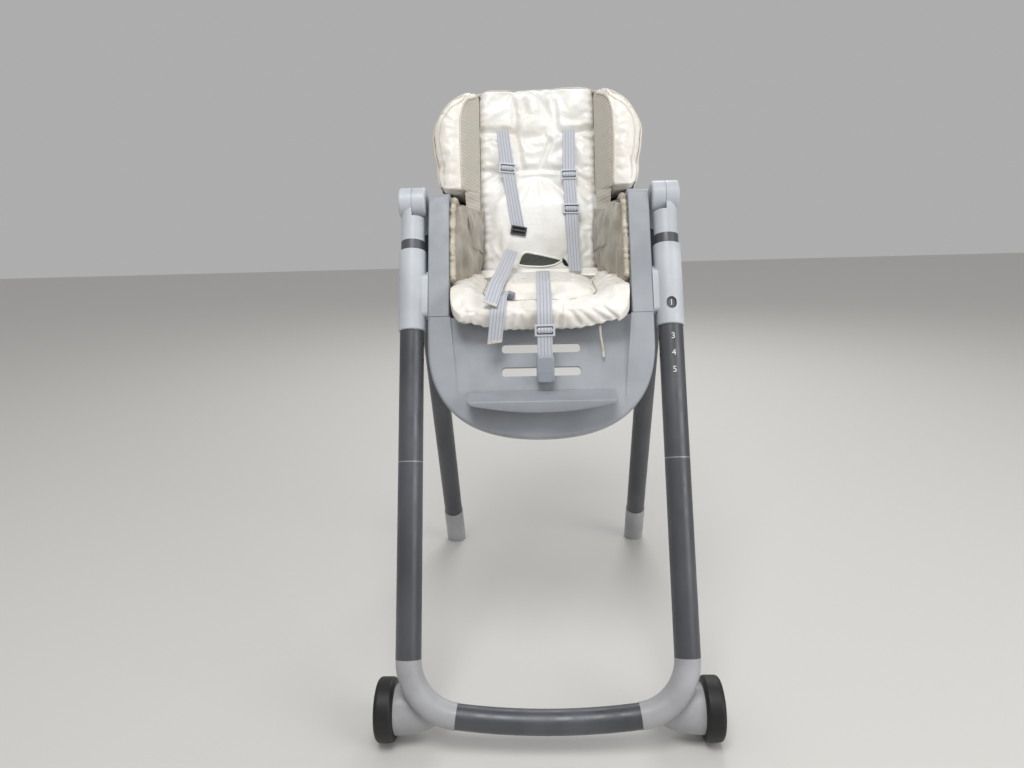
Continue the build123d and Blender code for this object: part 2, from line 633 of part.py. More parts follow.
# Footrest: a ledge with a crescent lip, and a tongue in the lowest slot
def footrest():
    slot_y, slot_z = leg_yz(POST_FRONT + PANEL_SKIN / 2, SLOT_TOP - 2 * SLOT_PITCH)
    top = slot_z + TONGUE_THICK + 3
    front_y, front_z = leg_yz(POST_FRONT - GAP, POST_BOTTOM)
    slope = sin(lean) / cos(lean)

    def panel_y(z):
        return front_y + (z - front_z) * slope

    reach = panel_y(top) - FOOTREST_REACH
    low = top - 1.6 * FOOTREST_LIP
    side = [(panel_y(top), top), (reach, top), (reach + 2, top - FOOTREST_LIP), (panel_y(low), low)]
    ledge = along_x(outline(side, [0, 3, 8, 0]), -FOOTREST_HALF, FOOTREST_HALF)
    ends = top - FOOTREST_END
    crescent = [
        Line((-FOOTREST_HALF, ends), (-FOOTREST_HALF, top)),
        Line((-FOOTREST_HALF, top), (FOOTREST_HALF, top)),
        Line((FOOTREST_HALF, top), (FOOTREST_HALF, ends)),
        ThreePointArc((FOOTREST_HALF, ends), (0, low), (-FOOTREST_HALF, ends)),
    ]
    ledge &= along_y(make_face(crescent), reach, panel_y(top))
    plan = [(-FOOTREST_HALF, 0), (-FOOTREST_HALF, reach), (FOOTREST_HALF, reach), (FOOTREST_HALF, 0)]
    ledge &= Pos(0, 0, low) * extrude(outline(plan, [0, FOOTREST_ROUND, FOOTREST_ROUND, 0]), 2 * FOOTREST_LIP)
    tongue_z = (slot_z - TONGUE_THICK / 2, slot_z + TONGUE_THICK / 2)
    tongue = block((-TONGUE_HALF, TONGUE_HALF), (panel_y(slot_z) - 8, slot_y + 2 * PANEL_SKIN), tongue_z)
    return SEAT * (ledge + tongue)


nodes["footrest"] = footrest()


# Seat pan: a ribbed tray between the side frames
def seat_pan():
    z = (PAN_TOP - PAN_DEPTH, PAN_TOP)
    pan = block((-SIDE_IN, SIDE_IN), (PAN_FRONT, PAN_BACK), z)
    half = SIDE_IN - PAN_WALL
    under = (z[0], PAN_TOP - PAN_PLATE)
    hollow = block((-half, half), (PAN_FRONT + PAN_WALL, PAN_BACK - PAN_WALL), under)
    for x in (-half / 2, 0, half / 2):
        hollow -= block((x - PAN_WALL / 2, x + PAN_WALL / 2), (PAN_FRONT, PAN_BACK), under)
    slot = block((-STRAP_WIDTH, STRAP_WIDTH), (crotch_root - PAN_SLOT / 2, crotch_root + PAN_SLOT / 2), z)
    return SEAT * (pan - hollow - slot)


nodes["seat_pan"] = seat_pan()


# Back shell: a dished moulding with wings, lugs on the recline pins and ribs behind
def back_outline(inset=0.0):
    half = [(FOOT_HALF, BACK_FOOT), (WAIST_HALF, WING_FOOT - WAIST_DROP)]
    half.append((WING_LOW_HALF, WING_FOOT + WING_LOW_RISE))
    half += [(WING_HALF, BACK_TOP - WING_DROP), (SHOULDER_HALF, BACK_TOP - SHOULDER_DROP)]
    half.append((CROWN_HALF, BACK_TOP))
    radii = [FOOT_ROUND, FOOT_ROUND, WING_LOW_ROUND, SHOULDER_ROUND, SHOULDER_ROUND, CROWN_ROUND]
    points = half + [(-x, z) for x, z in reversed(half)]
    shape = outline(points, radii + radii[::-1])
    if inset:
        shape = offset(shape, -inset)
    return shape


def back_tub(front, rear, inset):
    """Drafted solid inside the back outline, from one depth to another."""
    depth = BACK_REAR - BACK_RIM
    sections = []
    for y in (front, rear):
        draft = BACK_DRAFT * (y - BACK_RIM) / depth
        sections.append(Plane.XZ.offset(-y) * back_outline(inset + draft))
    return loft(sections, ruled=True)


def rim_room(room=0.0):
    """Space where the top rim of the shell is cut back, behind the cushion and the gussets of the wings."""
    end = BACK_PANEL_HALF + WING_GUSSET - room
    half = [(end, 2 * BACK_RIM), (end, BACK_RIM), (BACK_PANEL_HALF, rim_cut - room)]
    face = outline(half + [(-x, y) for x, y in reversed(half)], 6 * [0])
    return Pos(0, 0, BACK_TOP - 5 * BACK_WALL + room) * extrude(face, 6 * BACK_WALL)


def back_shell():
    shell = back_tub(BACK_RIM, BACK_REAR, 0)
    shell -= back_tub(BACK_RIM, BACK_REAR - BACK_WALL, BACK_WALL)
    shell -= block((-SIDE_OUT, SIDE_OUT), (2 * BACK_RIM, BACK_FRONT), (-BACK_WALL, WING_FOOT - 8))
    shell -= rim_room()
    lug_in = SIDE_IN - LUG_WIDTH
    lug_out = SIDE_IN - 2 * GAP
    top = Pos(BACK_REAR / 3, 4 * RECLINE_BOSS_R) * Circle(RECLINE_BOSS_R)
    lug = make_hull(Circle(RECLINE_BOSS_R - 2).edges() + top.edges())
    lug_root = Pos(BACK_REAR - BACK_WALL / 2, LEVER_UP) * Rectangle(BACK_WALL, 4 * LEVER_HEAD_R)
    lever_lug = make_hull((Pos(LEVER_BACK, LEVER_UP) * Circle(LEVER_HEAD_R)).edges() + lug_root.edges())
    lever_end = LEVER_HALF + GAP
    for side in (-1, 1):
        x = sorted((side * lug_in, side * lug_out))
        shell += along_x(lug, *x)
        x = sorted((side * lever_end, side * (lever_end + LEVER_LUG)))
        shell += along_x(lever_lug, *x)
        rib = sorted((side * BACK_RIB_X, side * (BACK_RIB_X + BACK_RIB)))
        shell += block(rib, (BACK_REAR - BACK_WALL, BACK_REAR + BACK_RIB_DEPTH), (BACK_RIB_FOOT, LEVER_UP))
    shell -= rod_x(RECLINE_PIN_R + RUNNING, -SIDE_IN, SIDE_IN)
    shell -= rod_x(LEVER_PIN_R, -2 * LEVER_HALF, 2 * LEVER_HALF, LEVER_BACK, LEVER_UP)
    half = (STRAP_WIDTH + STRAP_SLOT) / 2
    for x in (-STRAP_SLOT_X, STRAP_SLOT_X):
        for z in STRAP_SLOTS_Z:
            slot_z = (z - STRAP_SLOT / 2, z + STRAP_SLOT / 2)
            shell -= block((x - half, x + half), (0, 2 * BACK_REAR), slot_z)
    return BACK * shell


nodes["back_shell"] = back_shell()


def recline_lever():
    top = Pos(LEVER_BACK, LEVER_UP) * Circle(LEVER_HEAD_R)
    grip = Pos(LEVER_BACK + LEVER_HEAD_R, LEVER_UP - LEVER_LENGTH) * Circle(LEVER_GRIP_R)
    lever = along_x(make_hull(top.edges() + grip.edges()), -LEVER_HALF, LEVER_HALF)
    bore = rod_x(LEVER_PIN_R + RUNNING, -LEVER_HALF, LEVER_HALF, LEVER_BACK, LEVER_UP)
    return BACK * (lever - bore)


nodes["recline_lever"] = recline_lever()
lever_pin_half = LEVER_HALF + GAP + LEVER_LUG
nodes["recline_lever_pin"] = BACK * rod_x(LEVER_PIN_R, -lever_pin_half, lever_pin_half, LEVER_BACK, LEVER_UP)


# Soft pieces: seat cushion with its front roll, side pads, back cushion and padded wings
def roll_points():
    """Top, front and bottom corners of the front roll."""
    top = (ROLL_FRONT + ROLL_DEPTH, CUSHION_TOP)
    nose = (ROLL_FRONT, CUSHION_TOP - ROLL_NOSE)
    chin = (ROLL_FRONT + ROLL_CHIN, ROLL_BOTTOM)
    return top, nose, chin


def seat_cushion():
    rest = PAN_TOP + GAP
    rear = RECLINE_Y - CUSHION_REAR
    panel_low = (ROLL_BOTTOM + POST_FRONT * sin(lean)) / cos(lean)
    lip = leg_yz(POST_FRONT - 1, POST_BOTTOM + CUSHION_EDGE)
    points = [(rear, CUSHION_TOP - CUSHION_SINK), *roll_points()]
    points += [leg_yz(POST_FRONT - 1, panel_low), lip]
    points += [(PAN_FRONT - CUSHION_LIP, lip[1]), (PAN_FRONT, rest), (rear, rest)]
    radii = [CUSHION_ROUND, ROLL_TOP_ROUND, ROLL_NOSE_ROUND, ROLL_CHIN_ROUND]
    shape = outline(points, radii + 4 * [CUSHION_EDGE] + [3 * CUSHION_EDGE])
    cushion = along_x(shape, -CUSHION_HALF, CUSHION_HALF)
    half = [(CUSHION_HALF, 0), (CUSHION_HALF, ROLL_BOTTOM + ROLL_END_RISE)]
    half.append((0.4 * CUSHION_HALF, ROLL_BOTTOM))
    radii = [0, ROLL_END_ROUND, 2 * ROLL_END_ROUND]
    face = outline(half + [(-x, z) for x, z in reversed(half)], radii + radii[::-1])
    plan = [(CUSHION_HALF, ROLL_FRONT), (CUSHION_HALF, rear)]
    plan += [(-x, y) for x, y in reversed(plan)]
    cushion &= along_y(face, ROLL_FRONT, rear)
    cushion &= extrude(outline(plan, [ROLL_CORNER, 0, 0, ROLL_CORNER]), 2 * ROLL_BOTTOM)
    return SEAT * cushion


def side_pad():
    back = POST_FRONT + POST_DEPTH + GAP
    low = CUSHION_TOP + GAP
    low_s = low / cos(lean)
    rear = RECLINE_Y - PAD_REAR
    top_rear = rear + PAD_RAKE
    points = [leg_yz(back, low_s + 8), leg_yz(back, 4), (top_rear, RECLINE_Z + PAD_RISE), (rear, low)]
    points.append((leg_yz(back, low_s + 8)[0] + 4, low))
    wall = along_x(outline(points, [2, 10, 10, 4, 2]), 0, SIDE_IN)
    inner = POST_IN - PAD_INSET
    outer = SIDE_IN - PAD_BACKING
    front = points[0][0]
    plan = [(inner, front), (outer, front), (outer, top_rear), (BACK_PANEL_HALF - PAD_LAP, top_rear)]
    wall &= extrude(make_face(Polyline(*plan, close=True)), 2 * low)
    edge = [(POST_FRONT + 6, low_s + 12), (POST_FRONT + 6, 4), (back + 2, 4), (back + 2, low_s + 12)]
    wall += LEAN * along_x(outline(edge, [5, 5, 1, 1]), POST_IN - 11, POST_IN - 2 * GAP)
    return SEAT * wall


def back_room():
    """Space for padding inside the back shell."""
    return back_tub(BACK_RIM - GAP, BACK_REAR - BACK_WALL - GAP, BACK_WALL + GAP)


def back_cushion():
    tail = BACK_PANEL_HALF + BACK_TAIL
    step = WING_FOOT - GAP
    half = [(tail, BACK_FOOT), (tail, step), (BACK_PANEL_HALF, step), (BACK_PANEL_HALF, BACK_TOP)]
    points = half + [(-x, z) for x, z in reversed(half)]
    radii = [12, 6, 0, 8]
    shape = outline(points, radii + radii[::-1])
    slab = along_y(shape, BACK_FRONT, BACK_REAR)
    lip = along_y(back_outline(), BACK_FRONT, rim_cut - GAP)
    lip &= block((-BACK_PANEL_HALF, BACK_PANEL_HALF), (BACK_FRONT, rim_cut), (WING_FOOT, BACK_TOP))
    return BACK * (slab & (back_room() + lip))


def back_wing():
    nose = BACK_RIM - WING_NOSE
    inner = BACK_PANEL_HALF + GAP
    outer = WING_HALF + 2
    points = [
        (inner, BACK_REAR),
        (inner, BACK_FRONT),
        (inner + WING_GUSSET, nose + 5),
        (inner + WING_GUSSET + WING_FLAT, nose),
        (outer, BACK_RIM - 12),
        (outer, BACK_REAR),
    ]
    wing = extrude(outline(points, [0, 10, 12, 16, 8, 0]), BACK_TOP)
    side = [(nose, WING_FOOT), (nose, BACK_TOP - WING_DROP), (BACK_RIM - WING_CREST, BACK_TOP)]
    side += [(BACK_REAR, BACK_TOP), (BACK_REAR, WING_FOOT)]
    wing &= along_x(outline(side, [WING_HEM, WING_TOP_ROUND, 0, 0, 0]), 0, outer)
    crest = rim_room(GAP) & along_y(back_outline(), BACK_RIM - 2 * GAP, rim_cut)
    return BACK * (wing & (back_room() + along_y(back_outline(), nose, BACK_RIM - GAP) + crest))


nodes["seat_cushion"] = seat_cushion()
pair("side_pad", side_pad())
nodes["back_cushion"] = back_cushion()
pair("back_wing", back_wing())


# Harness on the back: shoulder straps with their sliders and the ladder lock
strap_y = BACK_FRONT - GAP
slider_y = strap_y - STRAP_THICK - GAP


def shoulder_strap(route):
    ribbon = trace(Polyline(*route), STRAP_WIDTH)
    return BACK * along_y(ribbon, strap_y - STRAP_THICK, strap_y)


def slider(height=SLIDER_HEIGHT):
    """Webbing slider: a rounded frame with a middle bar."""
    plate = RectangleRounded(SLIDER_WIDTH, height, 3)
    for side in (-1, 1):
        plate -= Pos(0, side * height / 4) * Rectangle(STRAP_WIDTH + 2, height / 4)
    return plate


def back_slider(place, tilt, height=SLIDER_HEIGHT):
    plate = Pos(*place) * Rot(0, 0, tilt) * slider(height)
    return BACK * along_y(plate, slider_y - SLIDER_THICK, slider_y)


nodes["left_shoulder_strap"] = shoulder_strap(LEFT_ROUTE)
nodes["right_shoulder_strap"] = shoulder_strap(RIGHT_ROUTE)
sliders = [back_slider(LEFT_ROUTE[1], 8), back_slider(RIGHT_ROUTE[1], 0), back_slider(RIGHT_ROUTE[2], 2)]
nodes["shoulder_strap_sliders"] = Compound(children=sliders)
nodes["strap_ladder_lock"] = back_slider(LEFT_ROUTE[2], 10, 0.95 * SLIDER_HEIGHT)


# Harness on the seat: hip strap ends on the left, crotch strap, its slider and the buckle
def off_roll(point, away):
    """Point moved out from the roll, along the bisector of its top and front."""
    return (point[0] - 0.45 * away, point[1] + 0.9 * away)


lift = GAP + STRAP_THICK / 2 + 0.2
roll_top, roll_nose, roll_chin = roll_points()
seat_rear = (RECLINE_Y - CUSHION_REAR, CUSHION_TOP - CUSHION_SINK)


def ribbon_x(route, x):
    """Webbing that follows a Y-Z route, centred on one X."""
    return along_x(trace(Polyline(*route), STRAP_THICK), x - STRAP_WIDTH / 2, x + STRAP_WIDTH / 2)


tail_nose = (roll_nose[0] - lift, roll_nose[1])
tail_start = (roll_top[0] + 6, roll_top[1] + lift)
tail_end = (roll_nose[0] - lift + 0.5, ROLL_BOTTOM - 11)
tail_route = [tail_start, off_roll(roll_top, lift), tail_nose, tail_end]
nodes["left_hip_strap_tail"] = SEAT * ribbon_x(tail_route, TAIL_X)
high = 3 * lift
hip_start = (seat_rear[0] + high, seat_rear[1] + 2 * STRAP_WIDTH)
hip_land = (seat_rear[0] - high, seat_rear[1] + high)
hip_top = off_roll(roll_top, high)
hip_end = ((hip_top[0] + roll_nose[0] - high) / 2, (hip_top[1] + roll_nose[1]) / 2)
hip_strap = ribbon_x([hip_start, hip_land, hip_top, hip_end], 0)
nodes["left_hip_strap"] = SEAT * Pos(HIP_X, 0, 0) * Rot(0, 0, HIP_TURN) * hip_strap

buckle_y = roll_nose[0] - BUCKLE_THICK / 2 - 2
buckle_top = ROLL_BOTTOM - BUCKLE_DROP
crotch_start = (crotch_root, CUSHION_TOP - CUSHION_SINK + lift)
crotch_drop = (roll_nose[0] - lift - 1, roll_chin[1] - 6)
crotch_route = [crotch_start, off_roll(roll_top, lift), tail_nose, crotch_drop, (buckle_y, buckle_top + GAP)]
nodes["crotch_strap"] = SEAT * ribbon_x(crotch_route, CROTCH_X)
crotch_slider_y = crotch_drop[0] - lift - SLIDER_THICK
crotch_slider = along_y(slider(), crotch_slider_y, crotch_slider_y + SLIDER_THICK)
nodes["crotch_strap_slider"] = SEAT * Pos(CROTCH_X, 0, roll_chin[1] + 8) * crotch_slider


def button_face(room=0.0):
    return RectangleRounded(BUTTON_WIDTH + 2 * room, BUTTON_HEIGHT + 2 * room, BUTTON_ROUND + room)


def buckle():
    body = Box(BUCKLE_WIDTH, BUCKLE_THICK, BUCKLE_HEIGHT)
    body = fillet(body.edges().filter_by(Axis.Y), 6)
    body = fillet(body.faces().sort_by(Axis.Y)[0].edges(), 3)
    room = BUCKLE_BUTTON_DEPTH + BUCKLE_TRAVEL
    front = -BUCKLE_THICK / 2
    hole = Pos(0, 0, -BUTTON_DROP) * along_y(button_face(GAP), front, front + room)
    return SEAT * Pos(CROTCH_X, buckle_y, buckle_top - BUCKLE_HEIGHT / 2) * (body - hole)


nodes["buckle"] = buckle()
button_front = -BUCKLE_THICK / 2 - BUTTON_PROUD
button = along_y(button_face(), button_front, button_front + BUCKLE_BUTTON_DEPTH)
button_z = buckle_top - BUCKLE_HEIGHT / 2 - BUTTON_DROP
nodes["buckle_button"] = SEAT * Pos(CROTCH_X, buckle_y, button_z) * button

# Drawstring end of the seat cover, hanging below the roll, with its tip
cord_y = ROLL_FRONT + CORD_SETBACK
cord_points = [(99.8, -202.4), (100.2, -213), (101.4, -224.5), (104, -236), (105, -247)]
cord_runs = [Vector(*b) - Vector(*a) for a, b in zip(cord_points, cord_points[1:])]
cord_radii = []
for before, after in zip(cord_runs, cord_runs[1:]):
    half_turn = radians(before.get_angle(after)) / 2
    cord_radii.append(0.45 * min(before.length, after.length) / (sin(half_turn) / cos(half_turn)))
print("drawstring radii", [round(radius, 1) for radius in cord_radii])
cord_path = Plane.XZ.offset(-cord_y) * FilletPolyline(*cord_points, radius=cord_radii)
cord_start = Plane(cord_path @ 0, z_dir=cord_path % 0)
cord_end = Plane(cord_path @ 1, z_dir=cord_path % 1)
nodes["drawstring"] = SEAT * sweep(cord_start * Circle(CORD_R), path=cord_path)
nodes["drawstring_tip"] = SEAT * extrude(cord_end * Circle(CORD_R + GAP), TIP_LENGTH)

os.makedirs("parts", exist_ok=True)
for name, shape in nodes.items():
    export_step(shape, f"parts/{name}.step")
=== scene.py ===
import json
from math import cos, pi, radians, sin
import bpy
import numpy as np
from mathutils import Matrix, Vector
from mathutils.bvhtree import BVHTree


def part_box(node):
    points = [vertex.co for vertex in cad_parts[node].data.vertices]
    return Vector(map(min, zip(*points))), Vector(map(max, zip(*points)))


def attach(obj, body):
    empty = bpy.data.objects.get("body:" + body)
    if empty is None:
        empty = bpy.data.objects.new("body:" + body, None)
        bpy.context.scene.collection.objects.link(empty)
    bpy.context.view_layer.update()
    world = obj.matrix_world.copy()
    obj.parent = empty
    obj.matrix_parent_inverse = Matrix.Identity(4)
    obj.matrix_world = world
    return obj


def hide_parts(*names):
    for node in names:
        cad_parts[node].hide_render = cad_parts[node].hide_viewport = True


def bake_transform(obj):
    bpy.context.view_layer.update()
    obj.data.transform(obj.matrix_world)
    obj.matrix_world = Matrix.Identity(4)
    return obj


# The chair as it was packed: a folding baby high chair, in metres, front towards -Y.
# Its fold pivot, leg direction and recline pivot give the frames that the looks are made in.
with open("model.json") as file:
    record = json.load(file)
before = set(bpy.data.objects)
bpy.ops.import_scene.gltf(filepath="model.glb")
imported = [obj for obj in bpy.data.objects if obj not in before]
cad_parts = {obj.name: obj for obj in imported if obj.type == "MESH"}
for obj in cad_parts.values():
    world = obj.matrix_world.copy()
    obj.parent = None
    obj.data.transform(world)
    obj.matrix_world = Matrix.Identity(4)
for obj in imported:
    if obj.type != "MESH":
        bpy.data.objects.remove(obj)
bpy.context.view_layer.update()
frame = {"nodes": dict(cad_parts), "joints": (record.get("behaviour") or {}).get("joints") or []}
joints = {joint["name"]: joint for joint in frame["joints"]}
fold_pivot = Vector((0, *joints["right_fold"]["pos_m"][1:]))
recline_pivot = Vector(joints["back_recline"]["pos_m"])
leg_up = Vector(joints["seat_height"]["axis"])
leg_lean = leg_up.angle(Vector((0, 0, 1)))
BACK_LEAN = radians(18)
seat_place = Matrix.Translation(fold_pivot)
leg_place = seat_place @ Matrix.Rotation(-leg_lean, 4, "X")
back_place = Matrix.Translation(recline_pivot) @ Matrix.Rotation(-BACK_LEAN, 4, "X")

# Camera at the photograph's angle: a wide phone lens a little above the seat, tipped down.
# Pitch, yaw and roll are its turns from a level view along +Y.
CAMERA_PLACE = (-0.0002, -1.4087, 0.9058)
CAMERA_PITCH = radians(15.69)
CAMERA_YAW = radians(-2.28)
CAMERA_ROLL = radians(1.75)
FOCAL_PIXELS = 770
IMAGE_WIDTH = 1024


def new_object(name, data):
    """Object for new data, linked to the scene."""
    piece = bpy.data.objects.new(name, data)
    bpy.context.scene.collection.objects.link(piece)
    return piece


camera_data = bpy.data.cameras.new("camera")
camera_data.lens = camera_data.sensor_width * FOCAL_PIXELS / IMAGE_WIDTH
camera = new_object("camera", camera_data)
run = cos(CAMERA_PITCH)
forward = Vector((sin(CAMERA_YAW) * run, cos(CAMERA_YAW) * run, -sin(CAMERA_PITCH)))
level = Vector((cos(CAMERA_YAW), -sin(CAMERA_YAW), 0))
down = forward.cross(level)
right = cos(CAMERA_ROLL) * level + sin(CAMERA_ROLL) * down
turned_down = cos(CAMERA_ROLL) * down - sin(CAMERA_ROLL) * level
camera_turn = Matrix((right, -turned_down, -forward)).transposed()
camera.matrix_world = Matrix.Translation(CAMERA_PLACE) @ camera_turn.to_4x4()
bpy.context.scene.camera = camera


# Studio: a plain pale floor, a large soft key light high above the front and two weaker fills.
# The world is an even pale grey that the lens sees as the backdrop.
def tone(red, green, blue):
    """Colour as it looks on a screen, from 0 to 255, as the light value that a shader takes."""
    parts = [value / 255 for value in (red, green, blue)]
    return [part / 12.92 if part <= 0.04045 else ((part + 0.055) / 1.055) ** 2.4 for part in parts]


LIGHT_AIM = Vector((0, 0, 0.6))


def soft_light(name, place, size, power):
    """Round area light that faces the middle of the chair."""
    lamp = bpy.data.lights.new(name, "AREA")
    lamp.shape = "DISK"
    lamp.size = size
    lamp.energy = power
    light = new_object(name, lamp)
    light.location = place
    light.rotation_euler = (LIGHT_AIM - Vector(place)).to_track_quat("-Z", "Y").to_euler()


bpy.context.scene.view_settings.view_transform = "Standard"
soft_light("key", place=(-0.2, -1.6, 3.5), size=1.6, power=56)
soft_light("fill", place=(2.2, -1.6, 1.6), size=1.8, power=24)
soft_light("rear", place=(0.4, 2.4, 2.2), size=1.8, power=26)
world = bpy.data.worlds.new("studio")
world.use_nodes = True
backdrop = world.node_tree.nodes["Background"].inputs
backdrop["Color"].default_value = (*tone(226, 226, 226), 1)
backdrop["Strength"].default_value = 0.55
bpy.context.scene.world = world


def start_material(name, colour, roughness, **levels):
    """New material with one colour and roughness, and with levels for other inputs of its shader."""
    material = bpy.data.materials.new(name)
    material.use_nodes = True
    inputs = material.node_tree.nodes["Principled BSDF"].inputs
    inputs["Base Color"].default_value = (*colour, 1)
    inputs["Roughness"].default_value = roughness
    for key, value in levels.items():
        inputs[key.replace("_", " ").title()].default_value = value
    return material


def add_node(material, kind, inputs, **settings):
    """New node with its settings, and with values or links on its inputs."""
    node = material.node_tree.nodes.new(kind)
    for key, value in settings.items():
        setattr(node, key, value)
    for key, value in inputs.items():
        if isinstance(value, bpy.types.NodeSocket):
            material.node_tree.links.new(value, node.inputs[key])
        else:
            node.inputs[key].default_value = value
    return node


def noise(material, scale, detail=4.0, stretch=(1, 1, 1)):
    """Cloudy pattern fixed to the piece, in grains per metre."""
    place = add_node(material, "ShaderNodeTexCoord", {})
    spread = add_node(material, "ShaderNodeMapping", {"Vector": place.outputs["Object"], "Scale": stretch})
    inputs = {"Vector": spread.outputs["Vector"], "Scale": scale, "Detail": detail}
    return add_node(material, "ShaderNodeTexNoise", inputs).outputs["Fac"]


def between(material, factor, low, high, start=0.35, end=0.65):
    """Number that goes from low to high as the pattern goes from start to end."""
    inputs = {"Value": factor, "From Min": start, "From Max": end, "To Min": low, "To Max": high}
    return add_node(material, "ShaderNodeMapRange", inputs).outputs["Result"]


def two_tone(material, factor, dark, light, start=0.35, end=0.65):
    """Colour that goes from dark to light as the pattern goes from start to end."""
    share = between(material, factor, 0, 1, start, end)
    mix = add_node(material, "ShaderNodeMix", {"Factor": share}, data_type="RGBA")
    mix.inputs["A"].default_value = (*dark, 1)
    mix.inputs["B"].default_value = (*light, 1)
    return mix.outputs["Result"]


def bump(material, height, distance, strength=1.0, under=None):
    """Small relief from a pattern, on top of another relief if there is one."""
    inputs = {"Height": height, "Distance": distance, "Strength": strength}
    if under:
        inputs["Normal"] = under
    return add_node(material, "ShaderNodeBump", inputs).outputs["Normal"]


def wire(material, colour=None, gloss=None, relief=None):
    """Link patterns to the shader's colour, roughness and normal."""
    inputs = material.node_tree.nodes["Principled BSDF"].inputs
    for name, value in (("Base Color", colour), ("Roughness", gloss), ("Normal", relief)):
        if value is not None:
            material.node_tree.links.new(value, inputs[name])


FLOOR_HALF = 6.0
bpy.ops.object.select_all(action="DESELECT")
bpy.ops.mesh.primitive_plane_add(size=2 * FLOOR_HALF)
floor = bpy.context.object
floor.name = "studio_floor"
floor.data.materials.append(start_material("pale_floor", tone(214, 212, 208), 0.55))


# Drawstring end of the seat cover: a limp woven cord of 4 mm that hangs below the roll.
# Its tip is a short sleeve crimped on the end, and stays as it was packed.
def stands_for(piece, body, node):
    """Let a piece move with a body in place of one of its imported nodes."""
    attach(piece, body)
    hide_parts(node)


CORD_DIAMETER = 0.004
CORD_DEPTH = -0.143
CORD_ROUTE = [(0.0998, -0.2024), (0.1002, -0.213), (0.1014, -0.2245), (0.104, -0.236), (0.105, -0.247)]
cord_places = [seat_place @ Vector((x, CORD_DEPTH, z)) for x, z in CORD_ROUTE]
cord_curve = bpy.data.curves.new("drawstring_cord", "CURVE")
cord_curve.dimensions = "3D"
cord_curve.bevel_depth = CORD_DIAMETER / 2
cord_curve.bevel_resolution = 4
cord_curve.use_fill_caps = True
cord_line = cord_curve.splines.new("NURBS")
cord_line.points.add(len(cord_places) - 1)
for point, place in zip(cord_line.points, cord_places):
    point.co = (*place, 1)
cord_line.order_u = 3
cord_line.use_endpoint_u = True
drawstring = new_object("drawstring_cord", cord_curve)
cord_finish = start_material("drawstring_weave", tone(222, 214, 200), 0.8)
cord_weave = noise(cord_finish, 900, 2, (1, 1, 0.6))
wire(cord_finish,
     colour=two_tone(cord_finish, cord_weave, tone(192, 182, 164), tone(232, 226, 214)),
     relief=bump(cord_finish, cord_weave, 0.0006))
cord_curve.materials.append(cord_finish)
stands_for(drawstring, "seat", "drawstring")


def dress(names, material):
    """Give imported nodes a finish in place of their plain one."""
    for name in names:
        slots = frame["nodes"][name].data.materials
        slots.clear()
        slots.append(material)


def both(*names):
    return [side + name for name in names for side in ("left_", "right_")]


def scuffed(name, colour, roughness, patches, gloss, **levels):
    """Finish of one colour, whose gloss varies in small patches."""
    finish = start_material(name, colour, roughness, **levels)
    wire(finish, gloss=between(finish, noise(finish, *patches), *gloss))
    return finish


tip_finish = scuffed("drawstring_tip_sleeve", tone(226, 220, 208), 0.45, patches=(300,), gloss=(0.35, 0.6))
dress(["drawstring_tip"], tip_finish)


# Leg tubes: the slanted front legs, the bowed cross tube and the rear legs, in dark grey satin paint.
# The paint has a fine orange-peel relief and hand marks, and a thin pale band is painted round each front leg
# at its joint.
def moulded(name, colour, roughness, tones, clouds, scuffs, gloss, grain, **levels):
    """Finish with cloudy tones, scuffs that vary the gloss, and a grain given by its scale and depth."""
    finish = start_material(name, colour, roughness, **levels)
    wire(finish,
         colour=two_tone(finish, noise(finish, *clouds), *tones),
         gloss=between(finish, noise(finish, scuffs, 8), *gloss),
         relief=bump(finish, noise(finish, grain[0], 2), grain[1]))
    return finish


def tube_paint(name):
    tones = tone(78, 80, 84), tone(96, 98, 103)
    return moulded(name, tone(82, 84, 88), 0.36, tones, clouds=(9, 6, (1, 1, 0.35)), scuffs=40,
                   gloss=(0.32, 0.46), grain=(1400, 0.00008), metallic=0.4)


def distance_along(material, direction):
    """How far each point of a piece is along a direction."""
    place = add_node(material, "ShaderNodeTexCoord", {}).outputs["Object"]
    inputs = {0: place, 1: direction}
    return add_node(material, "ShaderNodeVectorMath", inputs, operation="DOT_PRODUCT").outputs["Value"]


def compute(material, operation, *values):
    """Result of one sum on numbers or links."""
    return add_node(material, "ShaderNodeMath", dict(enumerate(values)), operation=operation).outputs["Value"]


LEG_SEAM = -0.465
SEAM_WIDTH = (0.0005, 0.0011)
dress(both("rear_leg_tube") + ["front_cross_tube"], tube_paint("satin_tube_paint"))
leg_finish = tube_paint("satin_leg_paint")
# A thin pale band is painted round each front leg where its upper and lower tubes meet.
joint_height = leg_up.dot(fold_pivot) + LEG_SEAM
joint_gap = compute(leg_finish, "SUBTRACT", distance_along(leg_finish, leg_up), joint_height)
joint_share = between(leg_finish, compute(leg_finish, "ABSOLUTE", joint_gap), 0.8, 0, *SEAM_WIDTH)
leg_base = leg_finish.node_tree.nodes["Principled BSDF"].inputs["Base Color"]
joint_inputs = {"Factor": joint_share, "A": leg_base.links[0].from_socket}
joint_mix = add_node(leg_finish, "ShaderNodeMix", joint_inputs, data_type="RGBA")
joint_mix.inputs["B"].default_value = (*tone(172, 174, 178), 1)
wire(leg_finish, colour=joint_mix.outputs["Result"])
dress(both("front_leg_upper", "front_leg_lower"), leg_finish)

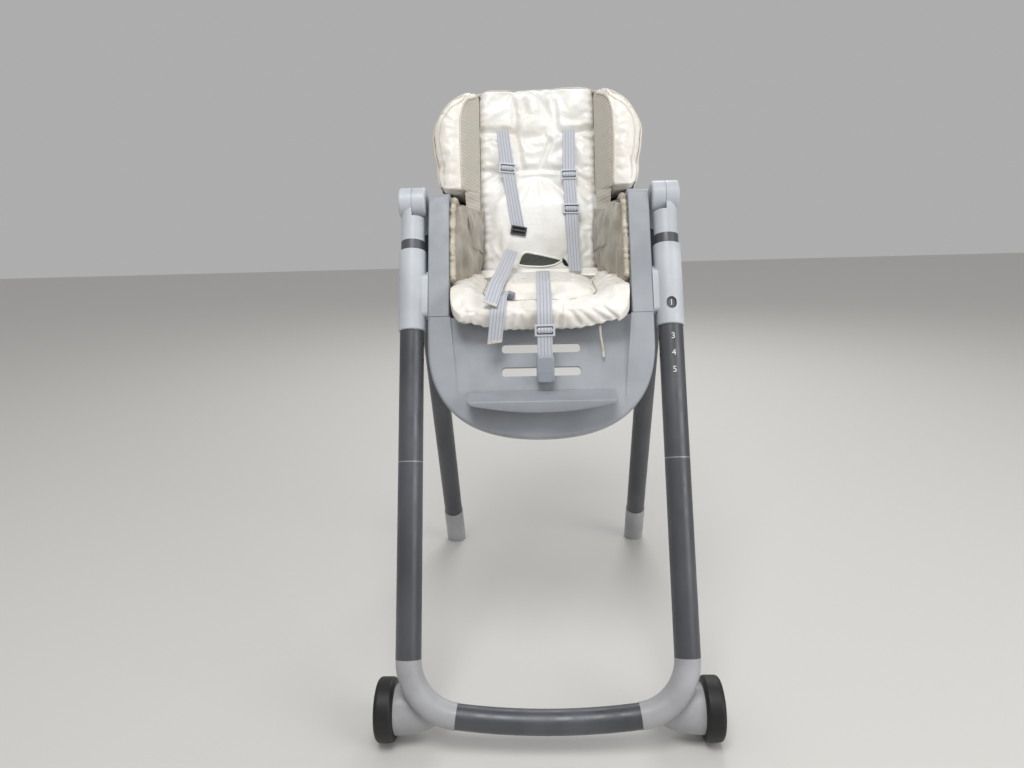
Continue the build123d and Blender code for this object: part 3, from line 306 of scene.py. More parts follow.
# Pale mouldings: fold hubs, height collars, corner pieces and rear feet, in light grey satin plastic.
# They are injection moulded, with a faint flow mottle and dull scuffs.
pale_tones = tone(186, 190, 196), tone(202, 207, 213)
pale_finish = moulded("pale_moulding", tone(196, 201, 207), 0.38, pale_tones, clouds=(14, 5), scuffs=60,
                      gloss=(0.32, 0.5), grain=(1800, 0.00005))
dress(both("front_hub", "rear_hub", "collar"), pale_finish)
corner_tones = tone(160, 160, 163), tone(180, 181, 184)
corner_finish = moulded("corner_moulding", tone(172, 173, 176), 0.4, corner_tones, clouds=(12, 6), scuffs=70,
                        gloss=(0.34, 0.52), grain=(1800, 0.00006))
dress(both("wheel_corner", "rear_foot"), corner_finish)

# Seat mouldings: side frames with their arm posts, calf panel, triggers and fold buttons.
# Mid grey plastic with a fine spark-eroded grain.
grey_tones = tone(148, 152, 158), tone(166, 170, 176)
grey_finish = moulded("grey_moulding", tone(158, 162, 168), 0.42, grey_tones, clouds=(10, 6), scuffs=50,
                      gloss=(0.36, 0.54), grain=(2200, 0.00008))
dress(both("side_frame", "height_trigger", "fold_button") + ["calf_panel"], grey_finish)

# Hidden mouldings, pins and wheels: dark shell, pan and lever, bright steel pins and bolts.
# The tyres are black rubber on dark plastic cores.
shell_finish = start_material("shell_moulding", tone(84, 86, 90), 0.55)
wire(shell_finish,
     colour=two_tone(shell_finish, noise(shell_finish, 10, 6), tone(76, 78, 82), tone(92, 94, 98)),
     relief=bump(shell_finish, noise(shell_finish, 1600, 3), 0.0001))
dress(["seat_pan", "back_shell", "recline_lever", "leg_joint_spigots"], shell_finish)
steel_finish = scuffed("pin_steel", tone(176, 176, 178), 0.32, patches=(300, 6, (4, 1, 1)),
                       gloss=(0.24, 0.42), metallic=1.0)
dress(both("lock_pin") + ["wheel_axles", "fold_pivot_pins", "collar_bolts"], steel_finish)
dress(["recline_pivot_pins", "recline_lever_pin"], steel_finish)
tyre_finish = start_material("tyre_rubber", tone(34, 34, 35), 0.5)
wire(tyre_finish, colour=two_tone(tyre_finish, noise(tyre_finish, 30, 6), tone(14, 14, 15), tone(28, 28, 28)))
dress(both("tyre"), tyre_finish)
wheel_finish = scuffed("wheel_core_plastic", tone(40, 40, 42), 0.45, patches=(80, 6), gloss=(0.36, 0.55))
dress(both("wheel_core"), wheel_finish)

# Back cushion: one foam slab in a shiny pearl cover, sewn down at the strap slots and along a tuck.
# The cover is slack, so it swells between the tucks and creases away from them.
VOXEL = 0.0042
WELD_GAP = 0.00002


def soft_copy(name, node, place):
    """Closed even mesh of a packed soft solid, in the frame that it was drawn in."""
    mesh = frame["nodes"][node].data.copy()
    mesh.materials.clear()
    mesh.transform(place.inverted())
    piece = new_object(name, mesh)
    only(piece)
    bpy.ops.object.mode_set(mode="EDIT")
    bpy.ops.mesh.select_all(action="SELECT")
    bpy.ops.mesh.remove_doubles(threshold=WELD_GAP)
    bpy.ops.object.mode_set(mode="OBJECT")
    apply_modifier(piece, "REMESH", mode="VOXEL", voxel_size=VOXEL)
    return piece


def only(piece):
    """Make one piece the selected and active one."""
    bpy.ops.object.select_all(action="DESELECT")
    piece.select_set(True)
    bpy.context.view_layer.objects.active = piece


def apply_modifier(piece, kind, **settings):
    only(piece)
    modifier = piece.modifiers.new(kind.lower(), kind)
    for key, value in settings.items():
        setattr(modifier, key, value)
    bpy.ops.object.modifier_apply(modifier=modifier.name)


def points_of(piece):
    flat = np.empty(len(piece.data.vertices) * 3)
    piece.data.vertices.foreach_get("co", flat)
    return flat.reshape(-1, 3)


def set_points(piece, points):
    piece.data.vertices.foreach_set("co", points.ravel())
    piece.data.update()


def near(distance, width):
    """1 on a line, fading to 0 at about twice the width from it."""
    return np.exp(-((distance / width) ** 2))


def line_distance(x, z, start, end):
    """Distance in a plane from points to a straight line between two ends."""
    run = np.subtract(end, start)
    share = np.clip(((x - start[0]) * run[0] + (z - start[1]) * run[1]) / (run @ run), 0, 1)
    return np.hypot(x - start[0] - share * run[0], z - start[1] - share * run[1])


def pull_of(x, z, lines, width):
    """Sum of the pulls of straight lines in a plane, each as wide as given."""
    return sum(near(line_distance(x, z, *ends), width) for ends in lines)


def stuff(piece, held, pressure, slack, cap, stiffness=0.6):
    """Slack cloth over stuffing: held points stay, the rest swells and creases, by the cap at most."""
    start = points_of(piece)
    group = piece.vertex_groups.new(name="held")
    group.add(np.flatnonzero(held).tolist(), 1.0, "REPLACE")
    only(piece)
    cloth = piece.modifiers.new("cover", "CLOTH")
    settings = cloth.settings
    settings.quality = 6
    settings.mass = 0.25
    settings.tension_stiffness = 18
    settings.compression_stiffness = 18
    settings.bending_stiffness = stiffness
    settings.use_pressure = True
    settings.uniform_pressure_force = pressure
    settings.shrink_min = -slack
    settings.vertex_group_mass = "held"
    settings.effector_weights.gravity = 0
    cloth.point_cache.frame_end = SIM_FRAMES
    for number in range(1, SIM_FRAMES + 1):
        bpy.context.scene.frame_set(number)
    bpy.ops.object.modifier_apply(modifier=cloth.name)
    bpy.context.scene.frame_set(1)
    piece.vertex_groups.clear()
    moved = points_of(piece) - start
    length = np.linalg.norm(moved, axis=1, keepdims=True)
    set_points(piece, start + moved * np.minimum(1, cap / np.maximum(length, 1e-9)))


def finish_soft(piece, place, body, node):
    """Smooth a stuffed piece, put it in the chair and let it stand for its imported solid."""
    apply_modifier(piece, "SMOOTH", factor=0.4, iterations=2)
    apply_modifier(piece, "SUBSURF", levels=1, render_levels=1)
    piece.data.transform(place)
    only(piece)
    bpy.ops.object.shade_smooth()
    stands_for(piece, body, node)


SIM_FRAMES = 20
SLOT_ENDS = [((-0.114, 0.299), (-0.046, 0.2935)), ((0.050, 0.291), (0.114, 0.297))]
TUCK_HALF = 0.056
TUCK_HEIGHT = 0.2125
TUCK_RISE = 0.005
SIDE_CREASES = [((-0.114, 0.191), (-0.080, 0.2075)), ((-0.110, 0.2155), (-0.076, 0.2145)),
                ((0.077, 0.203), (0.112, 0.183)), ((0.079, 0.284), (0.112, 0.272))]
TOP_FOLDS = [((-0.046, 0.374), (-0.042, 0.297)), ((-0.021, 0.379), (-0.025, 0.339)),
             ((0.014, 0.379), (0.032, 0.295)), ((-0.002, 0.379), (0.022, 0.329)),
             ((0.035, 0.362), (0.042, 0.296))]
TUCK_FOLDS = [((-0.042, 0.286), (-0.032, 0.224)), ((0.027, 0.273), (0.008, 0.226))]
PANEL_HALF = 0.116
SLOT_DEPTH = 0.014
TUCK_DEPTH = 0.010
CREASE_DEPTH = 0.007
EDGE_DEPTH = 0.010
FOLD_DEPTH = 0.0095
FOLD_TOP = 0.368
PUCKER_DEPTH = 0.0018
SWELL_ROOM = 0.003
back_cushion = soft_copy("back_cushion_cover", "back_cushion", back_place)
points = points_of(back_cushion)
x, y, z = points.T
front = np.clip(-y / 0.018, 0, 1)
tuck_line = TUCK_HEIGHT + TUCK_RISE * (1 - (x / TUCK_HALF) ** 2)
slot_pull = pull_of(x, z, SLOT_ENDS, 0.007)
tuck_pull = np.where(np.abs(x) < TUCK_HALF + 0.02, near(z - tuck_line, 0.006), 0)
crease_pull = pull_of(x, z, SIDE_CREASES, 0.006)
edge_pull = np.clip(1 - (PANEL_HALF - np.abs(x)) / 0.014, 0, 1) ** 2
fold_pull = pull_of(x, z, TOP_FOLDS + TUCK_FOLDS, 0.005)
pucker = np.clip(1 - (PANEL_HALF - np.abs(x)) / 0.03, 0, 1) * np.sin(400 * z + 2 * np.sin(61 * z))
pull = SLOT_DEPTH * slot_pull + TUCK_DEPTH * tuck_pull + CREASE_DEPTH * crease_pull + EDGE_DEPTH * edge_pull
pull += FOLD_DEPTH * fold_pull * np.clip((FOLD_TOP - z) / 0.02, 0, 1) + PUCKER_DEPTH * pucker
points[:, 1] += front * (SWELL_ROOM + pull)
set_points(back_cushion, points)
sewn = (slot_pull > 0.6) | (tuck_pull > 0.6) | (crease_pull > 0.75) | (edge_pull > 0.6) | (fold_pull > 0.85)
stuff(back_cushion, (y > 0.004) | sewn | (z < 0.03), pressure=3.0, slack=0.05, cap=0.014)
finish_soft(back_cushion, back_place, "backrest", "back_cushion")


def leather(name, dark, light, roughness, crease=0.0012):
    """Coated cloth: stained colour, uneven gloss, fine grain and shallow hand creases."""
    finish = start_material(name, light, roughness, coat_weight=0.2, coat_roughness=0.28)
    place = add_node(finish, "ShaderNodeTexCoord", {})
    inputs = {"Vector": place.outputs["Object"], "Scale": 1100}
    grain = add_node(finish, "ShaderNodeTexVoronoi", inputs, feature="SMOOTH_F1").outputs["Distance"]
    creases = bump(finish, noise(finish, 130, 5), crease, 0.5)
    wire(finish,
         colour=two_tone(finish, noise(finish, 16, 7), dark, light),
         gloss=between(finish, noise(finish, 55, 6), roughness - 0.06, roughness + 0.12),
         relief=bump(finish, grain, 0.0002, 0.6, creases))
    return finish


pearl_finish = leather("pearl_leatherette", tone(238, 235, 228), tone(250, 249, 246), 0.3)
back_cushion.data.materials.append(pearl_finish)


# Padded wings: foam in the same cover, each with a slanted gusset of duller cloth and a front pad.
# Piping runs along the inner and the outer seam of the pad, with two rows of stitches beside it.
def shrink(piece, amount):
    """Move points inwards, so that the stuffing has room to swell."""
    normals = np.empty(len(piece.data.vertices) * 3)
    piece.data.vertex_normals.foreach_get("vector", normals)
    set_points(piece, points_of(piece) - normals.reshape(-1, 3) * np.reshape(amount, (-1, 1)))


GUSSET_EDGE = (0.148, -0.065)
WING_EDGE = (0.207, -0.049)
RIM_DEPTH = -0.036
PIPING_HEIGHT = [0.166, 0.20, 0.26, 0.31, 0.335, 0.352, 0.364]
PIPING_X = [0.1475, 0.1485, 0.150, 0.149, 0.144, 0.136, 0.122]
wing_finish = leather("wing_leatherette", tone(234, 228, 217), tone(248, 245, 239), 0.34)
gusset_finish = start_material("gusset_cloth", tone(190, 183, 170), 0.62)
gusset_weave = compute(gusset_finish, "SINE", distance_along(gusset_finish, (0, 500, 800)))
gusset_cloud = bump(gusset_finish, noise(gusset_finish, 60, 4), 0.003, 0.5)
wire(gusset_finish,
     colour=two_tone(gusset_finish, gusset_weave, tone(187, 181, 169), tone(200, 195, 185), -0.8, 0.8),
     relief=bump(gusset_finish, gusset_weave, 0.0004, 0.25, gusset_cloud))
wings = []
for side in ("left", "right"):
    wing = soft_copy(f"{side}_wing_cover", f"{side}_back_wing", back_place)
    points = points_of(wing)
    x, y, z = np.abs(points[:, 0]), points[:, 1], points[:, 2]
    inner_seam = near(np.hypot(x - GUSSET_EDGE[0], y - GUSSET_EDGE[1]), 0.005)
    outer_seam = near(np.hypot(x - WING_EDGE[0], y - WING_EDGE[1]), 0.005)
    pad_front = np.clip((x - GUSSET_EDGE[0] + 0.008) / 0.008, 0, 1) * np.clip((RIM_DEPTH - y) / 0.010, 0, 1)
    shrink(wing, 0.003 * pad_front)
    held = (y > RIM_DEPTH) | (inner_seam > 0.6) | (outer_seam > 0.6) | (pad_front == 0)
    stuff(wing, held, pressure=4.0, slack=0.03, cap=0.012)
    middles = np.empty(len(wing.data.polygons) * 3)
    wing.data.polygons.foreach_get("center", middles)
    middles = middles.reshape(-1, 3)
    edge = np.interp(middles[:, 2], PIPING_HEIGHT, PIPING_X)
    inside = (np.abs(middles[:, 0]) < edge) & (middles[:, 1] > GUSSET_EDGE[1] - 0.004)
    wing.data.materials.append(wing_finish)
    wing.data.materials.append(gusset_finish)
    wing.data.polygons.foreach_set("material_index", inside.astype(np.int32))
    finish_soft(wing, back_place, "backrest", f"{side}_back_wing")
    wings.append(wing)


# Cover edge: the leatherette goes round the rim of the back and is drawn tight behind it by elastic.
# Piping closes the seams of the wings, and a row of stitches runs beside the outer one.
def surface(*pieces):
    """Tree of the faces of finished pieces, for laying other pieces on them."""
    corners, faces = [], []
    for piece in pieces:
        start = len(corners)
        corners += [vertex.co.copy() for vertex in piece.data.vertices]
        faces += [[start + number for number in face.vertices] for face in piece.data.polygons]
    return BVHTree.FromPolygons(corners, faces)


def front_of(tree, place, x, z):
    """Local point where a straight line from the front meets a surface, or else passes close to it."""
    start = place @ Vector((x, -0.4, z))
    spot, _, _, _ = tree.ray_cast(start, place.to_3x3() @ Vector((0, 1, 0)))
    if spot is None:
        spot, _, _, _ = tree.find_nearest(place @ Vector((x, 0, z)))
    return place.inverted() @ spot


def grid_piece(name, across, along, shape):
    """Grid whose points go where shape(u, v) puts them, with u and v from 0 to 1."""
    bpy.ops.object.select_all(action="DESELECT")
    bpy.ops.mesh.primitive_grid_add(x_subdivisions=across, y_subdivisions=along, size=1)
    piece = bpy.context.object
    piece.name = name
    flat = points_of(piece)
    set_points(piece, shape(flat[:, 0] + 0.5, flat[:, 1] + 0.5))
    return piece


def lift(points, tree, clearance):
    """Move points that are in or close to a surface out to the clearance."""
    lifted = points.copy()
    for number, point in enumerate(points):
        spot, normal, _, _ = tree.find_nearest(Vector(point))
        if (Vector(point) - spot).dot(normal) < clearance:
            lifted[number] = spot + clearance * normal
    return lifted


def even_out(values, rounds):
    """Smooth a row of values, or each column of a table, with its two ends kept."""
    for _ in range(rounds):
        values[1:-1] = (values[:-2] + 2 * values[1:-1] + values[2:]) / 4
    return values


def smooth_route(points, count):
    """Even points along a rounded line through the given ones."""
    points = np.array(points, dtype=float)
    steps = np.r_[0, np.cumsum(np.linalg.norm(np.diff(points, axis=0), axis=1))]
    even = np.linspace(0, steps[-1], count)
    line = np.stack([np.interp(even, steps, column) for column in points.T], axis=1)
    return even_out(line, count // 10)


def poly_curve(name, line, radius=0.0):
    """Curve through points, round if it has a radius."""
    curve = bpy.data.curves.new(name, "CURVE")
    curve.dimensions = "3D"
    curve.bevel_depth = radius
    curve.bevel_resolution = 3
    curve.use_fill_caps = True
    spline = curve.splines.new("POLY")
    spline.points.add(len(line) - 1)
    for point, place in zip(spline.points, line):
        point.co = (*place, 1)
    return new_object(name, curve)


def piping(name, line, radius, finish, body):
    """Round cord sewn along a seam, through the given points."""
    only(poly_curve(name, line, radius))
    bpy.ops.object.convert(target="MESH")
    piece = bpy.context.object
    bpy.ops.object.shade_smooth()
    piece.data.materials.append(finish)
    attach(piece, body)
    return piece


def stitches(name, line, finish, body):
    """Row of thread stitches along a line of points."""
    guide = poly_curve(name + "_line", line)
    bpy.ops.object.select_all(action="DESELECT")
    bpy.ops.mesh.primitive_uv_sphere_add(segments=8, ring_count=6, radius=0.5)
    piece = bpy.context.object
    piece.name = name
    piece.data.transform(Matrix.Diagonal((STITCH_LENGTH, STITCH_THICK, STITCH_THICK, 1)))
    apply_modifier(piece, "ARRAY", fit_type="FIT_CURVE", curve=guide, use_relative_offset=False,
                   use_constant_offset=True, constant_offset_displace=(STITCH_PITCH, 0, 0))
    apply_modifier(piece, "CURVE", object=guide, deform_axis="POS_X")
    bpy.data.objects.remove(guide)
    only(piece)
    bpy.ops.object.shade_smooth()
    piece.data.materials.append(finish)
    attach(piece, body)


STITCH_LENGTH = 0.0036
STITCH_PITCH = 0.0046
STITCH_THICK = 0.0009
SKIRT_MIDDLE = (0.0, 0.215)
SKIRT_FRONT = -0.046
SKIRT_REAR = 0.014
SKIRT_STEPS = 180
SKIRT_ROWS = 6
COVER_THICK = 0.0014
PANEL_SEAM = (0.1176, -0.0155)
back_shape = surface(frame["nodes"]["back_shell"], back_cushion, *wings)
back_turn = back_place.to_3x3()
foot_angle = np.arctan2(0.168 - SKIRT_MIDDLE[1], 0.190)
angles = np.linspace(pi - foot_angle, foot_angle, SKIRT_STEPS + 1)


def outer_radius(angle, depth):
    """Distance from the middle of the back to its outer surface, in one direction and depth."""
    away = Vector((cos(angle), 0, sin(angle)))
    middle = Vector((SKIRT_MIDDLE[0], depth, SKIRT_MIDDLE[1]))
    spot, _, _, distance = back_shape.ray_cast(back_place @ (middle + 0.5 * away), back_turn @ -away)
    return 0.5 - distance if spot else 0.0


def skirt_shape(u, v):
    step = np.rint(u * SKIRT_STEPS).astype(int)
    row = np.rint(v * SKIRT_ROWS).astype(int)
    return skirt_table[step, row]


skirt_table = np.zeros((SKIRT_STEPS + 1, SKIRT_ROWS + 1, 3))
depths = np.linspace(SKIRT_FRONT, 0, 24)
front_edge = np.zeros(SKIRT_STEPS + 1)
for step, angle in enumerate(angles):
    rim = outer_radius(angle, 0)
    reached = [depth for depth in depths if outer_radius(angle, depth) > rim - 0.006]
    front_edge[step] = reached[0]
front_edge = even_out(np.maximum.reduce([front_edge, np.roll(front_edge, 1), np.roll(front_edge, -1)]), 6)
for step, angle in enumerate(angles):
    for row, depth in enumerate(np.linspace(front_edge[step], SKIRT_REAR, SKIRT_ROWS + 1)):
        skirt_table[step, row] = (cos(angle), depth, sin(angle))
radii = np.array([[outer_radius(angle, spot[1]) for spot in row] for angle, row in zip(angles, skirt_table)])
wide = np.maximum.reduce([radii, np.roll(radii, 1, axis=0), np.roll(radii, -1, axis=0)])
wide = even_out(wide, 3) + 0.0012
skirt_table[..., 0] = SKIRT_MIDDLE[0] + wide * skirt_table[..., 0]
skirt_table[..., 2] = SKIRT_MIDDLE[1] + wide * skirt_table[..., 2]
skirt = grid_piece("back_cover_edge", SKIRT_STEPS, SKIRT_ROWS, skirt_shape)
apply_modifier(skirt, "SOLIDIFY", thickness=COVER_THICK, offset=0)
apply_modifier(skirt, "SUBSURF", levels=1, render_levels=1)
only(skirt)
bpy.ops.object.mode_set(mode="EDIT")
bpy.ops.mesh.select_all(action="SELECT")
bpy.ops.mesh.normals_make_consistent(inside=False)
bpy.ops.object.mode_set(mode="OBJECT")
skirt.data.transform(back_place)
bpy.ops.object.shade_smooth()
skirt.data.materials.append(wing_finish)
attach(skirt, "backrest")

SIDES = (("left", -1), ("right", 1))
INNER_PIPING = 0.0019
OUTER_PIPING = 0.0022
PANEL_PIPING = 0.0024
PIPING_SINK = Vector((0, 0.0006, 0))
WING_START = 0.130
STITCH_INSETS = (0.008, 0.011)
STITCH_LIFT = 0.0003
piping_finish = leather("piping_leatherette", tone(204, 195, 178), tone(224, 217, 205), 0.4)
thread_finish = start_material("sewing_thread", tone(196, 187, 170), 0.7)
wire(thread_finish, relief=bump(thread_finish, noise(thread_finish, 2500, 2), 0.0002))
for (side, sign), wing in zip(SIDES, wings):
    wing_tree = surface(wing)
    heights = np.linspace(PIPING_HEIGHT[0], PIPING_HEIGHT[-1], 40)
    inner_line = []
    for height in heights:
        spot = front_of(wing_tree, back_place, sign * np.interp(height, PIPING_HEIGHT, PIPING_X), height)
        inner_line.append(back_place @ (spot - PIPING_SINK))
    piping(f"{side}_wing_inner_piping", inner_line, INNER_PIPING, piping_finish, "backrest")
    panel_line = [back_place @ Vector((sign * PANEL_SEAM[0], PANEL_SEAM[1], height)) for height in heights]
    piping(f"{side}_panel_seam", panel_line, PANEL_PIPING, gusset_finish, "backrest")
    steps = [step for step in range(2, SKIRT_STEPS - 1) if sign * skirt_table[step, 0, 0] > WING_START]
    outer_line = [back_place @ Vector(skirt_table[step, 0]) for step in steps]
    piping(f"{side}_wing_outer_piping", outer_line, OUTER_PIPING, piping_finish, "backrest")
    for row, inset in enumerate(STITCH_INSETS):
        stitch_line = []
        for step in steps:
            x, _, z = skirt_table[step, 0]
            reach = np.hypot(x - SKIRT_MIDDLE[0], z - SKIRT_MIDDLE[1])
            share = (reach - inset) / reach
            x = SKIRT_MIDDLE[0] + share * (x - SKIRT_MIDDLE[0])
            z = SKIRT_MIDDLE[1] + share * (z - SKIRT_MIDDLE[1])
            spot, normal, _, _ = wing_tree.find_nearest(back_place @ Vector((x, 1.5 * SKIRT_FRONT, z)))
            stitch_line.append(spot + STITCH_LIFT * normal)
        stitches(f"{side}_wing_stitches_{row + 1}", stitch_line, thread_finish, "backrest")


# Side pads: slack satin linings inside the arms, creased where they were folded.
# A gathered edge, scrunched on elastic, runs up the front and along the top, and a slack cloth joins
# the pad to the edge of the back panel.
def cloth_between(corners, sign, tree):
    """Shape of a slack cloth between four corners, which bellies inwards and droops."""
    low_front, high_front, low_rear, high_rear = (np.array(corner) for corner in corners)

    def shape(u, v):
        u, v = u[:, None], v[:, None]
        flat = (1 - u) * ((1 - v) * low_front + v * high_front) + u * ((1 - v) * low_rear + v * high_rear)
        ripple = 0.0025 * np.sin(11 * u + 5 * v + sign) + 0.002 * np.sin(19 * u - 7 * v)
        slack = 0.006 * np.sin(pi * u) * (0.4 + v) + ripple
        droop = 0.010 * np.sin(pi * u) * v**2
        return lift(flat - slack * [[sign, 0, 0]] - droop * [[0, 0, 1]], tree, 0.0016)

    return shape


def cloth_sheet(piece, finish, smoothing):
    """Give a grid the thickness and finish of cloth."""
    apply_modifier(piece, "SMOOTH", factor=0.5, iterations=smoothing)
    apply_modifier(piece, "SOLIDIFY", thickness=CLOTH_THICK, offset=0)
    apply_modifier(piece, "SUBSURF", levels=1, render_levels=1)
    only(piece)
    bpy.ops.object.shade_smooth()
    piece.data.materials.append(finish)


CLOTH_THICK = 0.0012
PAD_EDGE_X = 0.1525
PAD_EDGE_RADIUS = 0.0065
PAD_FRONT = [(-0.004, -0.150), (-0.005, -0.080), (-0.004, -0.012), (0.006, 0.002)]
PAD_TOP = [(0.030, 0.002), (0.080, -0.022), (0.128, -0.046)]
CLOTH_FRONT = [(0.150, 0.046, -0.085), (0.148, 0.016, -0.004)]
CLOTH_REAR = [(0.1080, -0.023, 0.045), (0.1085, -0.0265, 0.137)]
satin_finish = start_material("satin_lining", tone(164, 157, 143), 0.4, sheen_weight=0.2)
satin_creases = bump(satin_finish, noise(satin_finish, 75, 4, (1, 1.6, 0.5)), 0.004, 0.5)
satin_weave = noise(satin_finish, 1500, 2, (1, 1, 0.3))
wire(satin_finish,
     colour=two_tone(satin_finish, noise(satin_finish, 22, 7), tone(148, 140, 124), tone(178, 172, 160)),
     relief=bump(satin_finish, satin_weave, 0.0002, 0.5, satin_creases))
scrunch_finish = start_material("scrunched_edge", tone(200, 192, 175), 0.45)
wire(scrunch_finish,
     colour=two_tone(scrunch_finish, noise(scrunch_finish, 60, 6), tone(176, 166, 146), tone(212, 205, 190)),
     relief=bump(scrunch_finish, noise(scrunch_finish, 260, 4), 0.0012, 0.5))
for side, sign in SIDES:
    pad = soft_copy(f"{side}_side_pad_cover", f"{side}_side_pad", seat_place)
    points = points_of(pad)
    x, y, z = np.abs(points[:, 0]), points[:, 1], points[:, 2]
    fold = np.sin(120 * (y + 0.35 * z)) + 0.7 * np.sin(70 * (y - 0.9 * z) + 1)
    fold += 0.5 * np.sin(190 * (0.5 * y + z) + 2)
    shrink(pad, np.where(x < 0.150, 0.003 + 0.0012 * fold, 0.0))
    held = (x > 0.156) | (z < -0.141) | (z > -0.006)
    stuff(pad, held, pressure=1.6, slack=0.06, cap=0.008, stiffness=0.2)
    pad.data.materials.append(satin_finish)
    finish_soft(pad, seat_place, "seat", f"{side}_side_pad")
    edge_route = [leg_place @ Vector((sign * PAD_EDGE_X, y, z)) for y, z in PAD_FRONT]
    edge_route += [seat_place @ Vector((sign * PAD_EDGE_X, y, z)) for y, z in PAD_TOP]
    edge_line = smooth_route(edge_route, 220)
    edge = piping(f"{side}_side_pad_edge", edge_line, PAD_EDGE_RADIUS, scrunch_finish, "seat")
    points = points_of(edge)
    along = 640 * (points[:, 2] - points[:, 1]) + 2.2 * np.sin(150 * points[:, 2]) + sign
    shrink(edge, 0.0011 + 0.0013 * np.sin(along) + 0.0007 * np.sin(2.3 * along + 30 * sign * points[:, 0]))
    corners = [seat_place @ Vector((sign * x, y, z)) for x, y, z in CLOTH_FRONT]
    corners += [back_place @ Vector((sign * x, y, z)) for x, y, z in CLOTH_REAR]
    hang = cloth_between(corners, sign, surface(pad, back_cushion))
    cloth = grid_piece(f"{side}_side_cloth", 30, 18, hang)
    cloth_sheet(cloth, satin_finish, smoothing=3)
    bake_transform(cloth)


# Seat cushion: a foam pad with a fat front roll, in the pearl cover.
# A seam divides the top panel from the roll, whose lower edge is gathered on the drawstring; a thin dark cord
# along the seam is painted shade of its groove.
SEAM_HALF = 0.100
SEAM_FRONT = -0.124
SEAM_CORNER = 0.060
SEAM_REAR = 0.070
SEAM_RADIUS = 0.0008
ROLL_FOLDS = [((-0.1246, -0.1675), (-0.1308, -0.1925)), ((-0.1071, -0.1749), (-0.1162, -0.1956)),
              ((-0.0454, -0.1805), (-0.0502, -0.2027)), ((-0.0317, -0.1822), (-0.0317, -0.2037)),
              ((0.0343, -0.1657), (0.0297, -0.2018)), ((0.0492, -0.1716), (0.0654, -0.1998)),
              ((0.0656, -0.1734), (0.0873, -0.1975)), ((0.0833, -0.1669), (0.1092, -0.1952)),
              ((0.105, -0.1647), (0.1282, -0.1895))]
SEAM_DEPTH = 0.010
ROLL_DEPTH = 0.005
RUFFLE_DEPTH = 0.0018
ROLL_ROOM = 0.004
RING_RISE = 0.012
seat_cushion = soft_copy("seat_cushion_cover", "seat_cushion", seat_place)
points = points_of(seat_cushion)
x, y, z = points.T
corner_x = np.maximum(np.abs(x) - (SEAM_HALF - SEAM_CORNER), 0)
corner_y = np.maximum(SEAM_FRONT + SEAM_CORNER - y, 0)
seam_gap = np.abs(np.hypot(corner_x, corner_y) - SEAM_CORNER)
top = np.clip((z + 0.190) / 0.03, 0, 1)
seam_pull = near(seam_gap, 0.007) * top
gather = np.clip((-0.185 - z) / 0.02, 0, 1) * np.clip((-0.10 - y) / 0.03, 0, 1)
roll_front = np.clip((-0.13 - y) / 0.02, 0, 1)
roll_pull = roll_front * pull_of(x, z, ROLL_FOLDS, 0.0035)
ring = np.clip((np.abs(x) - 0.092) / 0.032, 0, 1) * np.clip((y + 0.150) / 0.05, 0, 1)
ring *= np.clip((z + 0.175) / 0.02, 0, 1)
points[:, 2] += RING_RISE * ring**2 * (3 - 2 * ring)
set_points(seat_cushion, points)
ruffle = np.sin(420 * x + 2 * np.sin(37 * x))
inwards = ROLL_ROOM + SEAM_DEPTH * seam_pull + RUFFLE_DEPTH * gather * ruffle
shrink(seat_cushion, inwards + ROLL_DEPTH * np.minimum(roll_pull, 1))
held = (z < -0.1915) & (y > -0.09) | (y > 0.108) | (seam_pull > 0.65) | (gather > 0.9) | (roll_pull > 0.85)
stuff(seat_cushion, held, pressure=3.2, slack=0.05, cap=0.014)
seat_finish = leather("seat_leatherette", tone(242, 236, 225), tone(251, 249, 244), 0.32, crease=0.0006)
seat_cushion.data.materials.append(seat_finish)
finish_soft(seat_cushion, seat_place, "seat", "seat_cushion")
seat_tree = surface(seat_cushion)
corner_middle = (SEAM_HALF - SEAM_CORNER, SEAM_FRONT + SEAM_CORNER)
seam_side = [(SEAM_HALF, SEAM_REAR)]
for turn in np.linspace(0, pi / 2, 12):
    seam_side.append((corner_middle[0] + SEAM_CORNER * cos(turn), corner_middle[1] - SEAM_CORNER * sin(turn)))
seam_line = []
for x, y in smooth_route(seam_side + [(-x, y) for x, y in reversed(seam_side)], 120):
    spot, normal, _, _ = seat_tree.ray_cast(seat_place @ Vector((x, y, 0)), Vector((0, 0, -1)))
    seam_line.append(spot + STITCH_LIFT * normal)
# Painted shade: a thin dark cord, half sunk along the seam under the stitches, stands in for the shadow in
# its groove.
seam_shade_finish = leather("painted_seam_shade", tone(122, 109, 92), tone(148, 135, 116), 0.5)
piping("seat_panel_seam_shade", seam_line, SEAM_RADIUS, seam_shade_finish, "seat")
stitches("seat_seam_stitches", seam_line, thread_finish, "seat")

# Crease cloth: the cover runs on from the back panel to the rear of the seat cushion, slack in the crease.
# Two narrow tails of the gusset cloth go down beside the panel to the same crease.
CREASE_HALF = 0.138
CREASE_FLAT = 0.080
CREASE_LINE = [(0.1255, -0.1390), (0.1220, -0.1480), (0.1185, -0.1550), (0.1120, -0.1540), (0.0940, -0.1480)]
TAIL_TOP = [(0.1155, -0.0215, 0.170), (0.144, -0.052, 0.168)]
TAIL_FOOT = [(0.1140, -0.0225, 0.070), (0.140, -0.0235, 0.070)]
CLOTH_LIFT = 0.0012
crease_tree = surface(back_cushion, seat_cushion)
crease_line = smooth_route(CREASE_LINE, 13)


